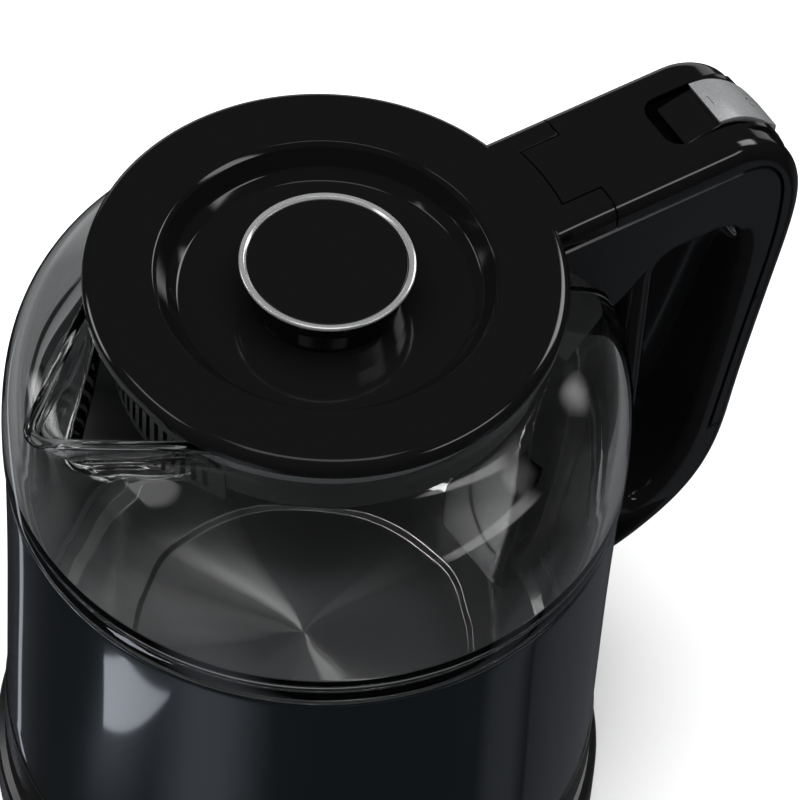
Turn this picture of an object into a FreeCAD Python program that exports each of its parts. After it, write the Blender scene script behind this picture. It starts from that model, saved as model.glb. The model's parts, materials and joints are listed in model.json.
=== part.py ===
"""Electric kettle: glass flask in a lacquered sleeve, lift-off lid, D handle with
rocking switch, on a round 360 degree power base.  Millimetres, +Z up, handle on +X,
spout on -X, z = 0 is the table under the rubber feet.  The outlines are drawn about the
flask's own axis; at the end every node is set back by x_back so that the origin lies
under the middle of the whole object."""
import FreeCAD, Part
import math
import os
from FreeCAD import Vector as V3

os.makedirs("parts", exist_ok=True)
doc = FreeCAD.newDocument("Kettle")
sheet = doc.addObject("Spreadsheet::Sheet", "Dims")

P = dict(
    # overall
    x_back=22.1,
    # power base
    foot_h=2.0, foot_r=7.0, foot_pos=56.0, base_r=76.5, base_side=13.5, base_top=19.0,
    base_flat=66.0, base_wall=2.2, cover_r=72.6, cover_t=2.2,
    socket_r=15.5, socket_top=29.5, socket_bot=6.0,
    glide_or=23.0, glide_z=19.3, glide_t=1.4,
    # kettle bottom
    kb_bot=19.3, kb_r=74.4, kb_top=32.0, kb_inner_top=43.0,
    sleeve_top=125.0, sleeve_rt=74.6, sleeve_rm=73.9, sleeve_rb=74.0, sleeve_bot=32.3, sleeve_t=0.8,
    plate_top=48.5, plate_t=1.0, plate_disc=42.0, plate_step=44.6, plate_up=49.9,
    plate_wall=67.6, plate_flange=71.5, plate_fl_z=43.2,
    diff_r=40.0, diff_t=2.4, elem_r=31.0, elem_d=7.0,
    # flask
    glass_t=2.6, glass_rs=71.8, glass_bot=44.4, bulge_r=75.5, neck_r=53.5, neck_top=188.4,
    beak_x=82.0, beak_z=182.4,
    # lid
    lid_top_z=194.0, lid_r=57.0, lid_edge=5.0, lid_round=3.0, rec_r=39.8, rec_fl=36.2, rec_d=7.6,
    knob_r=20.4, knob_z=198.8, ring_w=1.5, skirt_r=50.2, skirt_bot=170.0,
    # handle
    han_w=34.1, han_top=193.9, han_end=58.6, han_wall=2.2, han_seam=7.6, tongue_w=19.0, ear_x=70.0,
    scoop_z=192.4,
    pad_x=112.5, pad_z=183.0, pad_w=13.8, pin_r=1.5,
)
row = 1
for key, val in P.items():
    sheet.set("A%d" % row, key)
    sheet.set("B%d" % row, repr(float(val)))
    sheet.setAlias("B%d" % row, key)
    row += 1
doc.recompute()

nodes = []          # every object written out


def val(v):
    """number of a size: plain number, alias, or (alias, offset)"""
    if isinstance(v, str):
        return float(P[v])
    if isinstance(v, tuple):
        return float(P[v[0]]) + float(v[1])
    return float(v)


def ex(v):
    """expression of a size, None for a plain number"""
    if isinstance(v, str):
        return "Dims.%s * 1 mm" % v
    if isinstance(v, tuple):
        return "Dims.%s * 1 mm + (%r mm)" % (v[0], float(v[1]))
    return None


def plane(body, role):
    for f in body.Origin.OriginFeatures:
        if f.Role == role:
            return f
    raise RuntimeError("no plane " + role)


def new_body(label):
    b = doc.addObject("PartDesign::Body", "B_" + label)
    b.Label = label
    nodes.append(b)
    return b


def poly_sketch(body, role, pts, tag):
    """closed outline through pts, every coordinate held by a dimension"""
    sk = body.newObject("Sketcher::SketchObject", tag + "_sk")
    sk.AttachmentSupport = [(plane(body, role), "")]
    sk.MapMode = "FlatFace"
    n = len(pts)
    xy = [V3(val(a), val(b), 0) for a, b in pts]
    for i in range(n):
        sk.addGeometry(Part.LineSegment(xy[i], xy[(i + 1) % n]), False)
    import Sketcher
    cons = [Sketcher.Constraint("Coincident", i, 2, (i + 1) % n, 1) for i in range(n)]
    sk.addConstraint(cons)
    for i in range(n):
        for kind, v, c in (("DistanceX", pts[i][0], xy[i].x), ("DistanceY", pts[i][1], xy[i].y)):
            k = sk.addConstraint(Sketcher.Constraint(kind, -1, 1, i, 1, c))
            e = ex(v)
            if e:
                sk.setExpression("Constraints[%d]" % k, e)
    return sk


def circle_sketch(body, role, circles, tag, z=None):
    """round outlines (x, y, r) on an origin plane, lifted by z"""
    import Sketcher
    sk = body.newObject("Sketcher::SketchObject", tag + "_sk")
    sk.AttachmentSupport = [(plane(body, role), "")]
    sk.MapMode = "FlatFace"
    if z is not None:
        sk.AttachmentOffset = FreeCAD.Placement(V3(0, 0, val(z)), FreeCAD.Rotation())
        if ex(z):
            sk.setExpression("AttachmentOffset.Base.z", ex(z))
    for i, (x, y, r) in enumerate(circles):
        sk.addGeometry(Part.Circle(V3(x, y, 0), V3(0, 0, 1), val(r)), False)
        sk.addConstraint(Sketcher.Constraint("DistanceX", -1, 1, i, 3, x))
        sk.addConstraint(Sketcher.Constraint("DistanceY", -1, 1, i, 3, y))
        k = sk.addConstraint(Sketcher.Constraint("Radius", i, val(r)))
        if ex(r):
            sk.setExpression("Constraints[%d]" % k, ex(r))
    return sk


def revolve(label, pts, body=None):
    """ring or disc turned about the kettle axis from an (r, z) outline"""
    b = body or new_body(label)
    sk = poly_sketch(b, "XZ_Plane", pts, label)
    f = b.newObject("PartDesign::Revolution", label + "_rev")
    f.Profile = sk
    f.ReferenceAxis = (sk, ["V_Axis"])
    f.Angle = 360
    b.Tip = f
    doc.recompute()
    return b


def pocket(body, sk, length, tag, rev=False, mid=False, through=False):
    """cut; the direction is flipped when the first try removes nothing"""
    v0 = body.Shape.Volume
    f = body.newObject("PartDesign::Pocket", tag)
    f.Profile = sk
    if through:
        f.Type = 1
    else:
        f.Length = val(length)
        if ex(length):
            f.setExpression("Length", ex(length))
    f.Midplane = mid
    f.Reversed = rev
    body.Tip = f
    doc.recompute()
    if f.State and "Invalid" in f.State or body.Shape.isNull() or abs(body.Shape.Volume - v0) < 1e-3:
        f.Reversed = not rev
        doc.recompute()
    return f


def pattern(body, feats, n, tag):
    f = body.newObject("PartDesign::PolarPattern", tag)
    f.Originals = feats
    ax = None
    for o in body.Origin.OriginFeatures:
        if o.Role == "Z_Axis":
            ax = o
    f.Axis = (ax, [""])
    f.Angle = 360
    f.Occurrences = n
    body.Tip = f
    doc.recompute()
    return f


def arc_pts(cx, cy, r, a0, a1, n):
    """points on an arc, degrees, for outlines"""
    out = []
    for i in range(n + 1):
        a = math.radians(a0 + (a1 - a0) * i / n)
        out.append((cx + r * math.cos(a), cy + r * math.sin(a)))
    return out


def feature(label, shape):
    o = doc.addObject("Part::Feature", "F_" + label)
    o.Shape = shape
    o.Label = label
    nodes.append(o)
    return o


def turned(pts):
    """solid turned about Z from plain (r, z) points"""
    w = Part.makePolygon([V3(a, 0, b) for a, b in pts] + [V3(pts[0][0], 0, pts[0][1])])
    return Part.Face(w).revolve(V3(0, 0, 0), V3(0, 0, 1), 360)


def turned_curve(edges):
    return Part.Face(Part.Wire(edges)).revolve(V3(0, 0, 0), V3(0, 0, 1), 360)


def spline(pts, y=0.0, t0=None, t1=None):
    c = Part.BSplineCurve()
    p = [V3(a, y, b) for a, b in pts]
    if t0 and t1:
        c.interpolate(Points=p, InitialTangent=V3(t0[0], 0, t0[1]), FinalTangent=V3(t1[0], 0, t1[1]))
    else:
        c.interpolate(p)
    return c.toShape()


def seg(a, b, y=0.0):
    return Part.makeLine(V3(a[0], y, a[1]), V3(b[0], y, b[1]))


def cyl(r, h, p, d=V3(0, 0, 1)):
    return Part.makeCylinder(r, h, p, d)


def pipe(points, r):
    """round lead or tube along a smooth path"""
    c = Part.BSplineCurve()
    c.interpolate([V3(*p) for p in points])
    w = Part.Wire([c.toShape()])
    t = c.tangent(c.FirstParameter)[0]
    circ = Part.Wire([Part.makeCircle(r, V3(*points[0]), t)])
    return w.makePipeShell([circ], True, True)


def solids_of(shape):
    s = shape.Solids
    return s[0] if len(s) == 1 else Part.makeCompound(s)


def screw(p, d, head_r=2.6, head_h=1.6, r=1.5, length=8.0):
    """pan head screw, head at p, shank along d, cross slot in the head"""
    d = V3(*d)
    s = cyl(head_r, head_h, V3(*p) - d * head_h, d).fuse(cyl(r, length, V3(*p), d))
    z = V3(0, 0, 1)
    rot = FreeCAD.Rotation(z, d)
    for k in (0, 90):
        b = Part.makeBox(head_r * 1.3, 0.6, 0.8, V3(-head_r * 0.65, -0.3, -head_h - 0.01))
        b.Placement = FreeCAD.Placement(V3(*p), rot.multiply(FreeCAD.Rotation(z, k)))
        s = s.cut(b)
    return s


# ---------------------------------------------------------------- power base
bh = revolve("base_housing", [
    (("cover_r", 0.4), 2.0), ("base_r", 2.0), ("base_r", ("base_side", -1.5)), (("base_r", -0.5), "base_side"),
    (("base_r", -2.0), ("base_side", 1.4)), ("base_flat", ("base_top", -0.4)), (("base_flat", -3.0), "base_top"),
    (("socket_r", 0.35), "base_top"), (("socket_r", 0.35), ("base_top", -8.0)), (("socket_r", 2.35), ("base_top", -8.0)),
    (("socket_r", 2.35), ("base_top", -2.2)), (("base_flat", -3.6), ("base_top", -2.2)),
    (("base_r", -3.2), ("base_side", -0.9)), (("cover_r", 0.4), ("base_side", -2.4))])
sk = circle_sketch(bh, "YZ_Plane", [(0.0, 8.9, 3.5)], "cord_hole")
sk.AttachmentOffset = FreeCAD.Placement(V3(0, 0, 60.0), FreeCAD.Rotation())
f = bh.newObject("PartDesign::Pocket", "cord_hole")
f.Profile = sk
f.Length = 30
f.Reversed = True
bh.Tip = f
doc.recompute()
if abs(f.Shape.Volume - bh.Group[1].Shape.Volume) < 1:
    f.Reversed = False
    doc.recompute()
bc = revolve("base_bottom_cover", [
    (0.0, 2.3), ("cover_r", 2.3), ("cover_r", (("cover_t"), 2.3)), (0.0, ("cover_t", 2.3))])
sk = circle_sketch(bc, "XY_Plane", [(36.0, 0.0, 1.9)], "screw_hole", 0.0)
h1 = pocket(bc, sk, 10.0, "screw_hole_cut", rev=True)
pattern(bc, [h1], 3, "screw_holes")
feet = [cyl(P["foot_r"], P["foot_h"] + 0.2, V3(P["foot_pos"] * math.cos(math.radians(a)),
        P["foot_pos"] * math.sin(math.radians(a)), 0)) for a in (45, 135, 225, 315)]
feet = [s.makeChamfer(0.5, [s.Edges[k] for k in range(len(s.Edges)) if abs(s.Edges[k].CenterOfMass.z) < 0.01
        and s.Edges[k].Length > 20]) for s in feet]
feature("base_feet", Part.makeCompound(feet))
feature("base_screws", Part.makeCompound([
    screw((36 * math.cos(math.radians(a)), 36 * math.sin(math.radians(a)), 2.25), (0, 0, 1), 2.8, 1.2, 1.7, 8.0)
    for a in (0, 120, 240)]))
revolve("base_socket", [
    (1.0, "socket_bot"), (22.0, "socket_bot"), (22.0, ("socket_bot", 2.0)), ("socket_r", ("socket_bot", 3.0)),
    ("socket_r", ("socket_top", -1.0)), (("socket_r", -1.0), "socket_top"),
    (13.4, "socket_top"), (13.4, ("socket_bot", 3.0)), (10.4, ("socket_bot", 3.0)), (10.4, "socket_top"),
    (8.9, "socket_top"), (8.9, ("socket_bot", 3.0)), (6.1, ("socket_bot", 3.0)), (6.1, "socket_top"),
    (4.4, "socket_top"), (3.6, ("socket_top", -0.8)), (3.6, ("socket_bot", 5.0)), (1.0, ("socket_bot", 5.0))])
revolve("base_contact_earth", [(0.0, 11.3), (3.0, 11.3), (3.0, 18.0), (1.0, 19.2), (0.0, 19.2)])
revolve("base_contact_live", [(6.5, 9.3), (8.5, 9.3), (8.5, 19.5), (7.9, 19.5), (7.9, 10.0), (7.1, 10.0), (7.1, 19.5), (6.5, 19.5)])
revolve("base_contact_neutral", [(10.8, 9.3), (13.0, 9.3), (13.0, 19.5), (12.4, 19.5), (12.4, 10.0), (11.4, 10.0), (11.4, 19.5), (10.8, 19.5)])
# cord inlet bushing: a flanged ring in the rear wall opening, axis along X
g = cyl(4.3, 1.2, V3(76.6, 0, 8.9), V3(1, 0, 0)).fuse(cyl(3.4, 6.0, V3(71.2, 0, 8.9), V3(1, 0, 0)))
g = g.cut(cyl(2.2, 30.0, V3(60.0, 0, 8.9), V3(1, 0, 0)))
g = solids_of(g.removeSplitter())
feature("base_cord_gland", g)
gr = revolve("base_glide_ring", [
    (("socket_r", 0.06), "glide_z"), ("glide_or", "glide_z"), ("glide_or", ("glide_z", 1.0)),
    (("glide_or", -0.4), ("glide_z", 1.4)), (("socket_r", 0.06), ("glide_z", 1.4))])
sk = circle_sketch(gr, "XY_Plane", [(20.0, 0.0, 1.1)], "grip_dimple", 0.0)
h1 = pocket(gr, sk, 30.0, "grip_dimple_cut", rev=True)
pattern(gr, [h1], 8, "grip_dimples")

# ---------------------------------------------------------------- kettle bottom
kb = revolve("bottom_housing", [
    (21.6, ("kb_bot", 2.2)), (70.0, ("kb_bot", 2.2)), (70.6, "kb_bot"), (72.6, "kb_bot"), ("kb_r", ("kb_bot", 2.0)),
    ("kb_r", "kb_top"), (72.4, "kb_top"), (72.4, "kb_inner_top"), (70.2, "kb_inner_top"), (70.2, ("kb_bot", 4.6)),
    (23.8, ("kb_bot", 4.6)), (23.8, ("kb_bot", 12.0)), (21.6, ("kb_bot", 12.0))])
sk = circle_sketch(kb, "XY_Plane", [(52.0, 0.0, 1.8)], "kb_screw", 0.0)
h1 = pocket(kb, sk, 60.0, "kb_screw_cut", rev=True)
pattern(kb, [h1], 3, "kb_screws")
sl_pts = [("sleeve_rb", "sleeve_bot"), ("sleeve_rm", 62.0), (("sleeve_rm", 0.05), 85.0), (("sleeve_rt", -0.35), 108.0),
          ("sleeve_rt", ("sleeve_top", -0.4)), (("sleeve_rt", -0.2), "sleeve_top"), (("sleeve_rt", -0.8), "sleeve_top"),
          (("sleeve_rt", -1.2), 108.0), (("sleeve_rm", -0.8), 85.0), (("sleeve_rm", -0.8), 62.0), (("sleeve_rb", -0.8), "sleeve_bot")]
sv = revolve("body_sleeve", sl_pts)
sk = circle_sketch(sv, "YZ_Plane", [(0.0, 72.0, 1.7), (0.0, 104.0, 1.7)], "sleeve_holes")
f = sv.newObject("PartDesign::Pocket", "sleeve_hole_cut")
f.Profile = sk
f.Length = 90
sv.Tip = f
doc.recompute()
if sv.Shape.BoundBox.XMin > -70 or f.Shape.common(cyl(1.0, 8.0, V3(70, 0, 104), V3(1, 0, 0))).Volume > 0.01:
    f.Reversed = True
    doc.recompute()
revolve("sleeve_spacer", [
    (71.85, ("sleeve_top", -7.2)), (("sleeve_rt", -1.25), ("sleeve_top", -7.2)), (("sleeve_rt", -1.05), ("sleeve_top", -3.4)),
    (71.85, ("sleeve_top", -3.4))])
revolve("heating_plate", [
    (0.0, ("plate_top", -1.0)), (("plate_disc", -0.5), ("plate_top", -1.0)), (("plate_step", -0.3), ("plate_up", -1.0)),
    (61.0, ("plate_up", -1.0)), (("plate_wall", -3.6), ("plate_up", 0.8)), (("plate_wall", -1.0), ("plate_up", 0.8)),
    (("plate_wall", -1.0), "plate_fl_z"),
    ("plate_flange", "plate_fl_z"), ("plate_flange", ("plate_fl_z", 0.8)), ("plate_wall", ("plate_fl_z", 0.8)),
    ("plate_wall", ("plate_up", 1.4)), (("plate_wall", -0.4), ("plate_up", 1.8)), (("plate_wall", -3.9), ("plate_up", 1.8)),
    (60.6, "plate_up"), ("plate_step", "plate_up"), ("plate_disc", "plate_top"), (0.0, "plate_top")])
revolve("flask_seal", [
    (("plate_wall", 0.05), ("plate_fl_z", 0.85)), (71.6, ("plate_fl_z", 0.85)), (71.6, ("glass_bot", -0.05)),
    (69.1, ("glass_bot", -0.05)), (69.1, ("plate_up", 2.6)), (("plate_wall", -0.2), ("plate_up", 3.2)),
    (("plate_wall", -0.2), ("plate_up", 1.95)), (("plate_wall", 0.05), ("plate_up", 1.5))])
revolve("diffuser_plate", [
    (0.0, ("plate_top", -3.45)), ("diff_r", ("plate_top", -3.45)), ("diff_r", ("plate_top", -1.05)), (0.0, ("plate_top", -1.05))])
# tubular element: open ring with two ends turned down
er, ed = P["elem_r"], P["elem_d"] / 2.0
ez = P["plate_top"] - 3.5 - ed
arc = Part.ArcOfCircle(Part.Circle(V3(0, 0, ez), V3(0, 0, 1), er), math.radians(205), math.radians(515)).toShape()
prof = Part.Wire([Part.makeCircle(ed, arc.valueAt(arc.FirstParameter), arc.tangentAt(arc.FirstParameter))])
tube = Part.Wire([arc]).makePipeShell([prof], True, True)
feature("heating_element", tube)
ends = []
for a in (205, 515):
    ca, sa = math.cos(math.radians(a)), math.sin(math.radians(a))
    ta = a + (-90 if a == 205 else 90)
    dx, dy = math.cos(math.radians(ta)), math.sin(math.radians(ta))
    c0 = V3(er * ca, er * sa, ez)
    lead = cyl(1.6, 5.0, c0 + V3(dx, dy, 0) * 0.05, V3(dx, dy, 0))
    post = cyl(1.6, 10.0, c0 + V3(dx, dy, 0) * 5.0 - V3(0, 0, 9.0), V3(0, 0, 1))
    tab = Part.makeBox(4.0, 0.8, 4.0, V3(-2.0, -0.4, 0))
    tab.Placement = FreeCAD.Placement(c0 + V3(dx, dy, 0) * 5.0 - V3(0, 0, 12.5), FreeCAD.Rotation(V3(0, 0, 1), a))
    ends.append(solids_of(lead.fuse([post, tab])))
feature("element_terminals", Part.makeCompound(ends))
revolve("kettle_connector", [
    (16.3, ("kb_bot", 1.9)), (21.2, ("kb_bot", 1.9)), (21.2, ("kb_bot", 14.0)), (24.5, ("kb_bot", 14.0)), (24.5, ("kb_bot", 18.0)),
    (2.6, ("kb_bot", 18.0)), (2.6, ("kb_bot", 12.0)), (6.9, ("kb_bot", 12.0)), (6.9, ("kb_bot", 17.0)),
    (8.1, ("kb_bot", 17.0)), (8.1, ("kb_bot", 12.0)), (11.2, ("kb_bot", 12.0)), (11.2, ("kb_bot", 17.0)),
    (12.6, ("kb_bot", 17.0)), (12.6, ("kb_bot", 12.0)), (16.3, ("kb_bot", 12.0))])
revolve("connector_pin_earth", [(0.0, 20.4), (1.2, 20.4), (2.2, 21.6), (2.2, 36.0), (2.55, 36.0), (2.55, 38.5), (0.0, 38.5)])
revolve("connector_ring_live", [(7.1, 21.2), (7.9, 21.2), (7.9, 36.2), (7.1, 36.2)])
revolve("connector_ring_neutral", [(11.5, 21.2), (12.3, 21.2), (12.3, 36.2), (11.5, 36.2)])
revolve("boil_dry_disc", [(0.0, 43.0), (9.0, 42.0), (9.0, 42.5), (0.0, 43.6)])
feature("bottom_screws", Part.makeCompound([
    screw((52 * math.cos(math.radians(a)), 52 * math.sin(math.radians(a)), P["kb_bot"] + 2.15), (0, 0, 1), 2.8, 1.4, 1.7, 14.0)
    for a in (0, 120, 240)]))

# ---------------------------------------------------------------- glass flask
LT = P["lid_top_z"]
gt = P["glass_t"]


def off(pts, d):
    """outline moved d mm toward the inside (left of travel)"""
    out = []
    for i, p in enumerate(pts):
        a = pts[max(i - 1, 0)]
        b = pts[min(i + 1, len(pts) - 1)]
        tx, tz = b[0] - a[0], b[1] - a[1]
        n = math.hypot(tx, tz)
        out.append((p[0] + d * tz / n, p[1] - d * tx / n))
    return out


shoulder = [(P["neck_r"], LT - 13.0), (54.0, LT - 15.8), (56.2, LT - 18.4), (60.0, LT - 21.2), (65.0, LT - 24.6), (69.2, LT - 28.2),
            (72.2, LT - 32.6), (74.2, LT - 38.5), (75.2, LT - 46.0), (P["bulge_r"], LT - 55.0), (75.3, LT - 63.0),
            (74.9, LT - 66.4), (74.0, LT - 68.2), (72.6, LT - 69.4), (P["glass_rs"], LT - 71.6), (P["glass_rs"], LT - 76.0)]
inner = off(shoulder, gt)
inner[0] = (P["neck_r"] - gt, inner[0][1])
inner[-1] = (P["glass_rs"] - gt, inner[-1][1])
inner[-2] = (P["glass_rs"] - gt + 0.02, inner[-2][1])
inner[-3] = (P["glass_rs"] - gt + 0.35, LT - 68.6)
inner[-4] = (P["glass_rs"] - gt + 1.1, LT - 66.4)
inner[-5] = (P["glass_rs"] - gt + 2.1, LT - 63.9)
inner[-6] = (P["bulge_r"] - gt - 0.25, LT - 60.0)


def flask_solid(curve, r_neck, top, r_bot, bot):
    e = [seg((0, bot), (r_bot, bot)), seg((r_bot, bot), curve[-1]), spline(curve), seg(curve[0], (r_neck, top)),
         seg((r_neck, top), (0, top)), seg((0, top), (0, bot))]
    return turned_curve(e)


outer_s = flask_solid(shoulder, P["neck_r"], P["neck_top"], P["glass_rs"], P["glass_bot"])
inner_s = flask_solid(inner, P["neck_r"] - gt, P["neck_top"] + 5, P["glass_rs"] - gt, P["glass_bot"] - 5)


def beak_wire(z, x0, y0, x1, y1, tip_r):
    """plan outline of the spout: two straight lips closing on a rounded tip"""
    c = V3(-x1 + tip_r, 0, z)
    ang = math.atan2(x1 - x0, y0 - y1)
    p_t = c + V3(-tip_r * math.sin(math.pi / 2 - ang) * 0 - tip_r * math.cos(math.pi / 2 - ang) * 0, 0, 0)
    # tangent points of the lips on the tip circle
    best = None
    px, py = -x0, y0
    dx, dy = c.x - px, c.y - py
    dist = math.hypot(dx, dy)
    th = math.acos(min(1.0, tip_r / dist))
    base = math.atan2(py - c.y, px - c.x)
    t_up = base + th
    tp = V3(c.x + tip_r * math.cos(t_up), c.y + tip_r * math.sin(t_up), z)
    tm = V3(tp.x, -tp.y, z)
    a = V3(px, py, z)
    b = V3(px, -py, z)
    mid = V3(-x1, 0, z)
    e = [Part.makeLine(a, tp), Part.Arc(tp, mid, tm).toShape(), Part.makeLine(tm, b), Part.makeLine(b, a)]
    return Part.Wire(e)


zt, zb = P["neck_top"], LT - 33.0
beak_o = Part.makeLoft([beak_wire(zt, 34.0, 37.5, P["beak_x"], 3.0, 5.5), beak_wire(zt - 10.0, 34.0, 33.0, 77.6, 3.0, 5.5),
                        beak_wire(zt - 19.0, 34.0, 26.0, 70.0, 3.0, 5.0), beak_wire(zb, 34.0, 17.0, 62.5, 3.0, 4.0)], True)
beak_i = Part.makeLoft([beak_wire(zt + 0.01, 34.0, 34.2, P["beak_x"] - 3.0, 1.0, 2.9), beak_wire(zt - 10.0, 34.0, 29.6, 74.2, 1.0, 2.9),
                        beak_wire(zt - 19.0, 34.0, 22.6, 66.4, 1.0, 2.6), beak_wire(zb, 34.0, 13.6, 58.0, 1.0, 2.0)], True)
flask = outer_s.fuse(beak_o)
flask = flask.cut(inner_s).cut(beak_i)
# the lips fall gently toward the tip
slope = Part.makeBox(80, 120, 20, V3(-80, -60, 0))
slope.Placement = FreeCAD.Placement(V3(-50.5, 0, P["neck_top"]), FreeCAD.Rotation(V3(0, 1, 0),
                                    -math.degrees(math.atan2(P["neck_top"] - P["beak_z"], P["beak_x"] - 50.5))))
flask = flask.cut(slope).removeSplitter()
fl = flask.Solids
fl.sort(key=lambda s: -s.Volume)
feature("flask", fl[0])

# ---------------------------------------------------------------- lid
lr = P["lid_round"]
rim = [(P["lid_r"] - lr + a, P["lid_top_z"] - lr + b) for a, b in arc_pts(0, 0, lr, 0, 90, 6)]
rim_pts = [(("lid_r", x - P["lid_r"]), ("lid_top_z", z - P["lid_top_z"])) for x, z in rim]
lt = new_body("lid_top")
revolve("lid_top", [
    (("skirt_r", -2.4), ("lid_top_z", -5.0)), (("lid_r", -0.6), ("lid_top_z", -5.0)), ("lid_r", ("lid_top_z", -4.4))] + rim_pts + [
    (("rec_r", 0.8), "lid_top_z"), (("rec_r", 0.2), ("lid_top_z", -0.3)), (("rec_r", -0.3), ("lid_top_z", -1.0)),
    (("rec_fl", 0.9), ("lid_top_z", -5.6)), (("rec_fl", -0.1), ("lid_top_z", -7.0)), (("rec_fl", -1.6), ("lid_top_z", -7.6)),
    (20.0, ("lid_top_z", -7.9)), (1.7, ("lid_top_z", -7.9)), (1.7, ("lid_top_z", -10.3)), (("rec_fl", 1.2), ("lid_top_z", -10.0)),
    (("rec_fl", 2.6), ("lid_top_z", -8.8)), (("rec_r", 2.4), ("lid_top_z", -2.6)), (("skirt_r", -2.4), ("lid_top_z", -2.6))], lt)
sk = circle_sketch(lt, "XY_Plane", [(44.6 * math.cos(math.radians(a)), 44.6 * math.sin(math.radians(a)), 2.2) for a in (60, 180, 300)],
                   "lid_post", ("lid_top_z", -11.0))
f = lt.newObject("PartDesign::Pad", "lid_posts")
f.Profile = sk
f.Length = 8.6
lt.Tip = f
doc.recompute()
sk = circle_sketch(lt, "XY_Plane", [(44.6 * math.cos(math.radians(a)), 44.6 * math.sin(math.radians(a)), 1.22) for a in (60, 180, 300)],
                   "lid_pilot", ("lid_top_z", -11.5))
pocket(lt, sk, 9.0, "lid_pilots", rev=True)
kn = [(14.6, -7.85), (17.4, -7.85), (17.8, -6.0), (18.9, -1.0), (19.6, 3.2), (19.9, 3.5), (18.8, 3.5), (18.8, 4.3), (18.0, 4.35),
      (10.0, 4.05), (0.0, 3.95), (0.0, 1.9), (1.62, 1.9), (1.62, -7.85), (5.4, -7.85), (5.4, 1.4), (16.0, 1.6), (16.6, -1.0)]
revolve("lid_knob", [((a), ("lid_top_z", b)) for a, b in kn])
revolve("knob_ring", [
    (18.95, ("knob_z", -1.2)), (("knob_r", 0.1), ("knob_z", -1.2)), (("knob_r", 0.35), ("knob_z", -0.7)),
    (("knob_r", 0.2), ("knob_z", -0.15)), (("knob_r", -0.3), "knob_z"), (("knob_r", -0.9), ("knob_z", -0.1)), (18.95, ("knob_z", -0.5))])
ls = revolve("lid_skirt", [
    (1.9, ("lid_top_z", -11.2)), (("skirt_r", -3.3), ("lid_top_z", -11.2)), (("skirt_r", -3.3), ("lid_top_z", -6.4)),
    (("skirt_r", -2.6), ("lid_top_z", -5.05)), ("skirt_r", ("lid_top_z", -5.05)), ("skirt_r", ("lid_top_z", -9.6)),
    (("skirt_r", -1.5), ("lid_top_z", -9.6)), (("skirt_r", -1.5), ("lid_top_z", -13.4)), ("skirt_r", ("lid_top_z", -13.4)),
    (("skirt_r", -0.2), "skirt_bot"), (("skirt_r", -2.0), "skirt_bot"), (("skirt_r", -2.8), ("lid_top_z", -13.1)),
    (1.9, ("lid_top_z", -13.1))])
sk = circle_sketch(ls, "XY_Plane", [(44.6 * math.cos(math.radians(a)), 44.6 * math.sin(math.radians(a)), 1.5) for a in (60, 180, 300)],
                   "skirt_holes", ("lid_top_z", -14.0))
pocket(ls, sk, 4.0, "skirt_holes_cut", rev=True)
# window toward the spout
sk = poly_sketch(ls, "YZ_Plane", [(-27.0, 166.0), (27.0, 166.0), (27.0, 177.4), (-27.0, 177.4)], "window")
f = ls.newObject("PartDesign::Pocket", "window_cut")
f.Profile = sk
f.Length = 80
ls.Tip = f
doc.recompute()
if f.Shape.common(cyl(2.0, 30.0, V3(30, 0, 173), V3(1, 0, 0))).Volume < 0.5:
    f.Reversed = True
    doc.recompute()
revolve("lid_gasket", [
    (("skirt_r", -1.5), ("lid_top_z", -13.2)), (("skirt_r", 0.1), ("lid_top_z", -13.2)), (("skirt_r", 0.6), ("lid_top_z", -12.2)),
    (("skirt_r", 0.2), ("lid_top_z", -11.6)), (("skirt_r", 0.6), ("lid_top_z", -10.8)), (("skirt_r", 0.1), ("lid_top_z", -9.8)),
    (("skirt_r", -1.5), ("lid_top_z", -9.8))])
# slotted strainer screen standing in the window
st = turned([(47.9, 164.0), (49.5, 164.0), (49.8, 177.2), (48.1, 177.2)])
st = st.common(Part.makeBox(40, 52.6, 30, V3(-60, -26.3, 160)))
bars = []
for k in range(-7, 8):
    a = math.radians(180 + k * 3.7)
    c = Part.makeBox(8.0, 1.5, 9.4, V3(-4, -0.75, 0))
    c.Placement = FreeCAD.Placement(V3(48.8 * math.cos(a), 48.8 * math.sin(a), 166.0), FreeCAD.Rotation(V3(0, 0, 1), math.degrees(a)))
    bars.append(c)
st = st.cut(Part.makeCompound(bars))
feature("lid_strainer", solids_of(st))
feature("lid_screws", Part.makeCompound([
    screw((44.6 * math.cos(math.radians(a)), 44.6 * math.sin(math.radians(a)), LT - 13.12), (0, 0, 1), 2.4, 1.0, 1.2, 9.6)
    for a in (60, 180, 300)]))
feature("knob_screw", screw((0, 0, LT - 13.12), (0, 0, 1), 3.4, 1.6, 1.6, 14.2))

# ---------------------------------------------------------------- handle
ht, hw = P["han_top"], P["han_w"] / 2.0
hs = P["scoop_z"]
back = [(104.0, ht), (111.3, ht - 1.8), (118.0, ht - 6.6), (123.1, ht - 13.8), (125.9, ht - 22.4), (125.6, 156.0), (122.9, 140.6),
        (119.0, 119.6), (115.3, 97.5), (112.6, 81.5), (108.9, 71.5), (102.4, 62.9), (93.4, 56.5), (83.3, 52.1), (66.4, 47.8)]
hole_r = [(100.0, 166.2), (105.4, 164.6), (108.8, 159.6), (109.3, 152.0), (108.0, 139.0), (105.2, 118.0), (101.8, 96.0), (99.2, 84.5),
          (95.6, 77.0), (90.8, 71.8), (87.2, 70.2)]


def extrude(edges, half):
    fce = Part.Face(Part.Wire(edges))
    return fce.extrude(V3(0, 2 * half, 0))


def side_face(edges_fn, half):
    return extrude(edges_fn(-half), half)


def outline(y):
    return [seg((50.0, ht), (104.0, ht), y), spline(back, y), seg(back[-1], (50.0, 47.8), y), seg((50.0, 47.8), (50.0, ht), y)]


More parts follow.
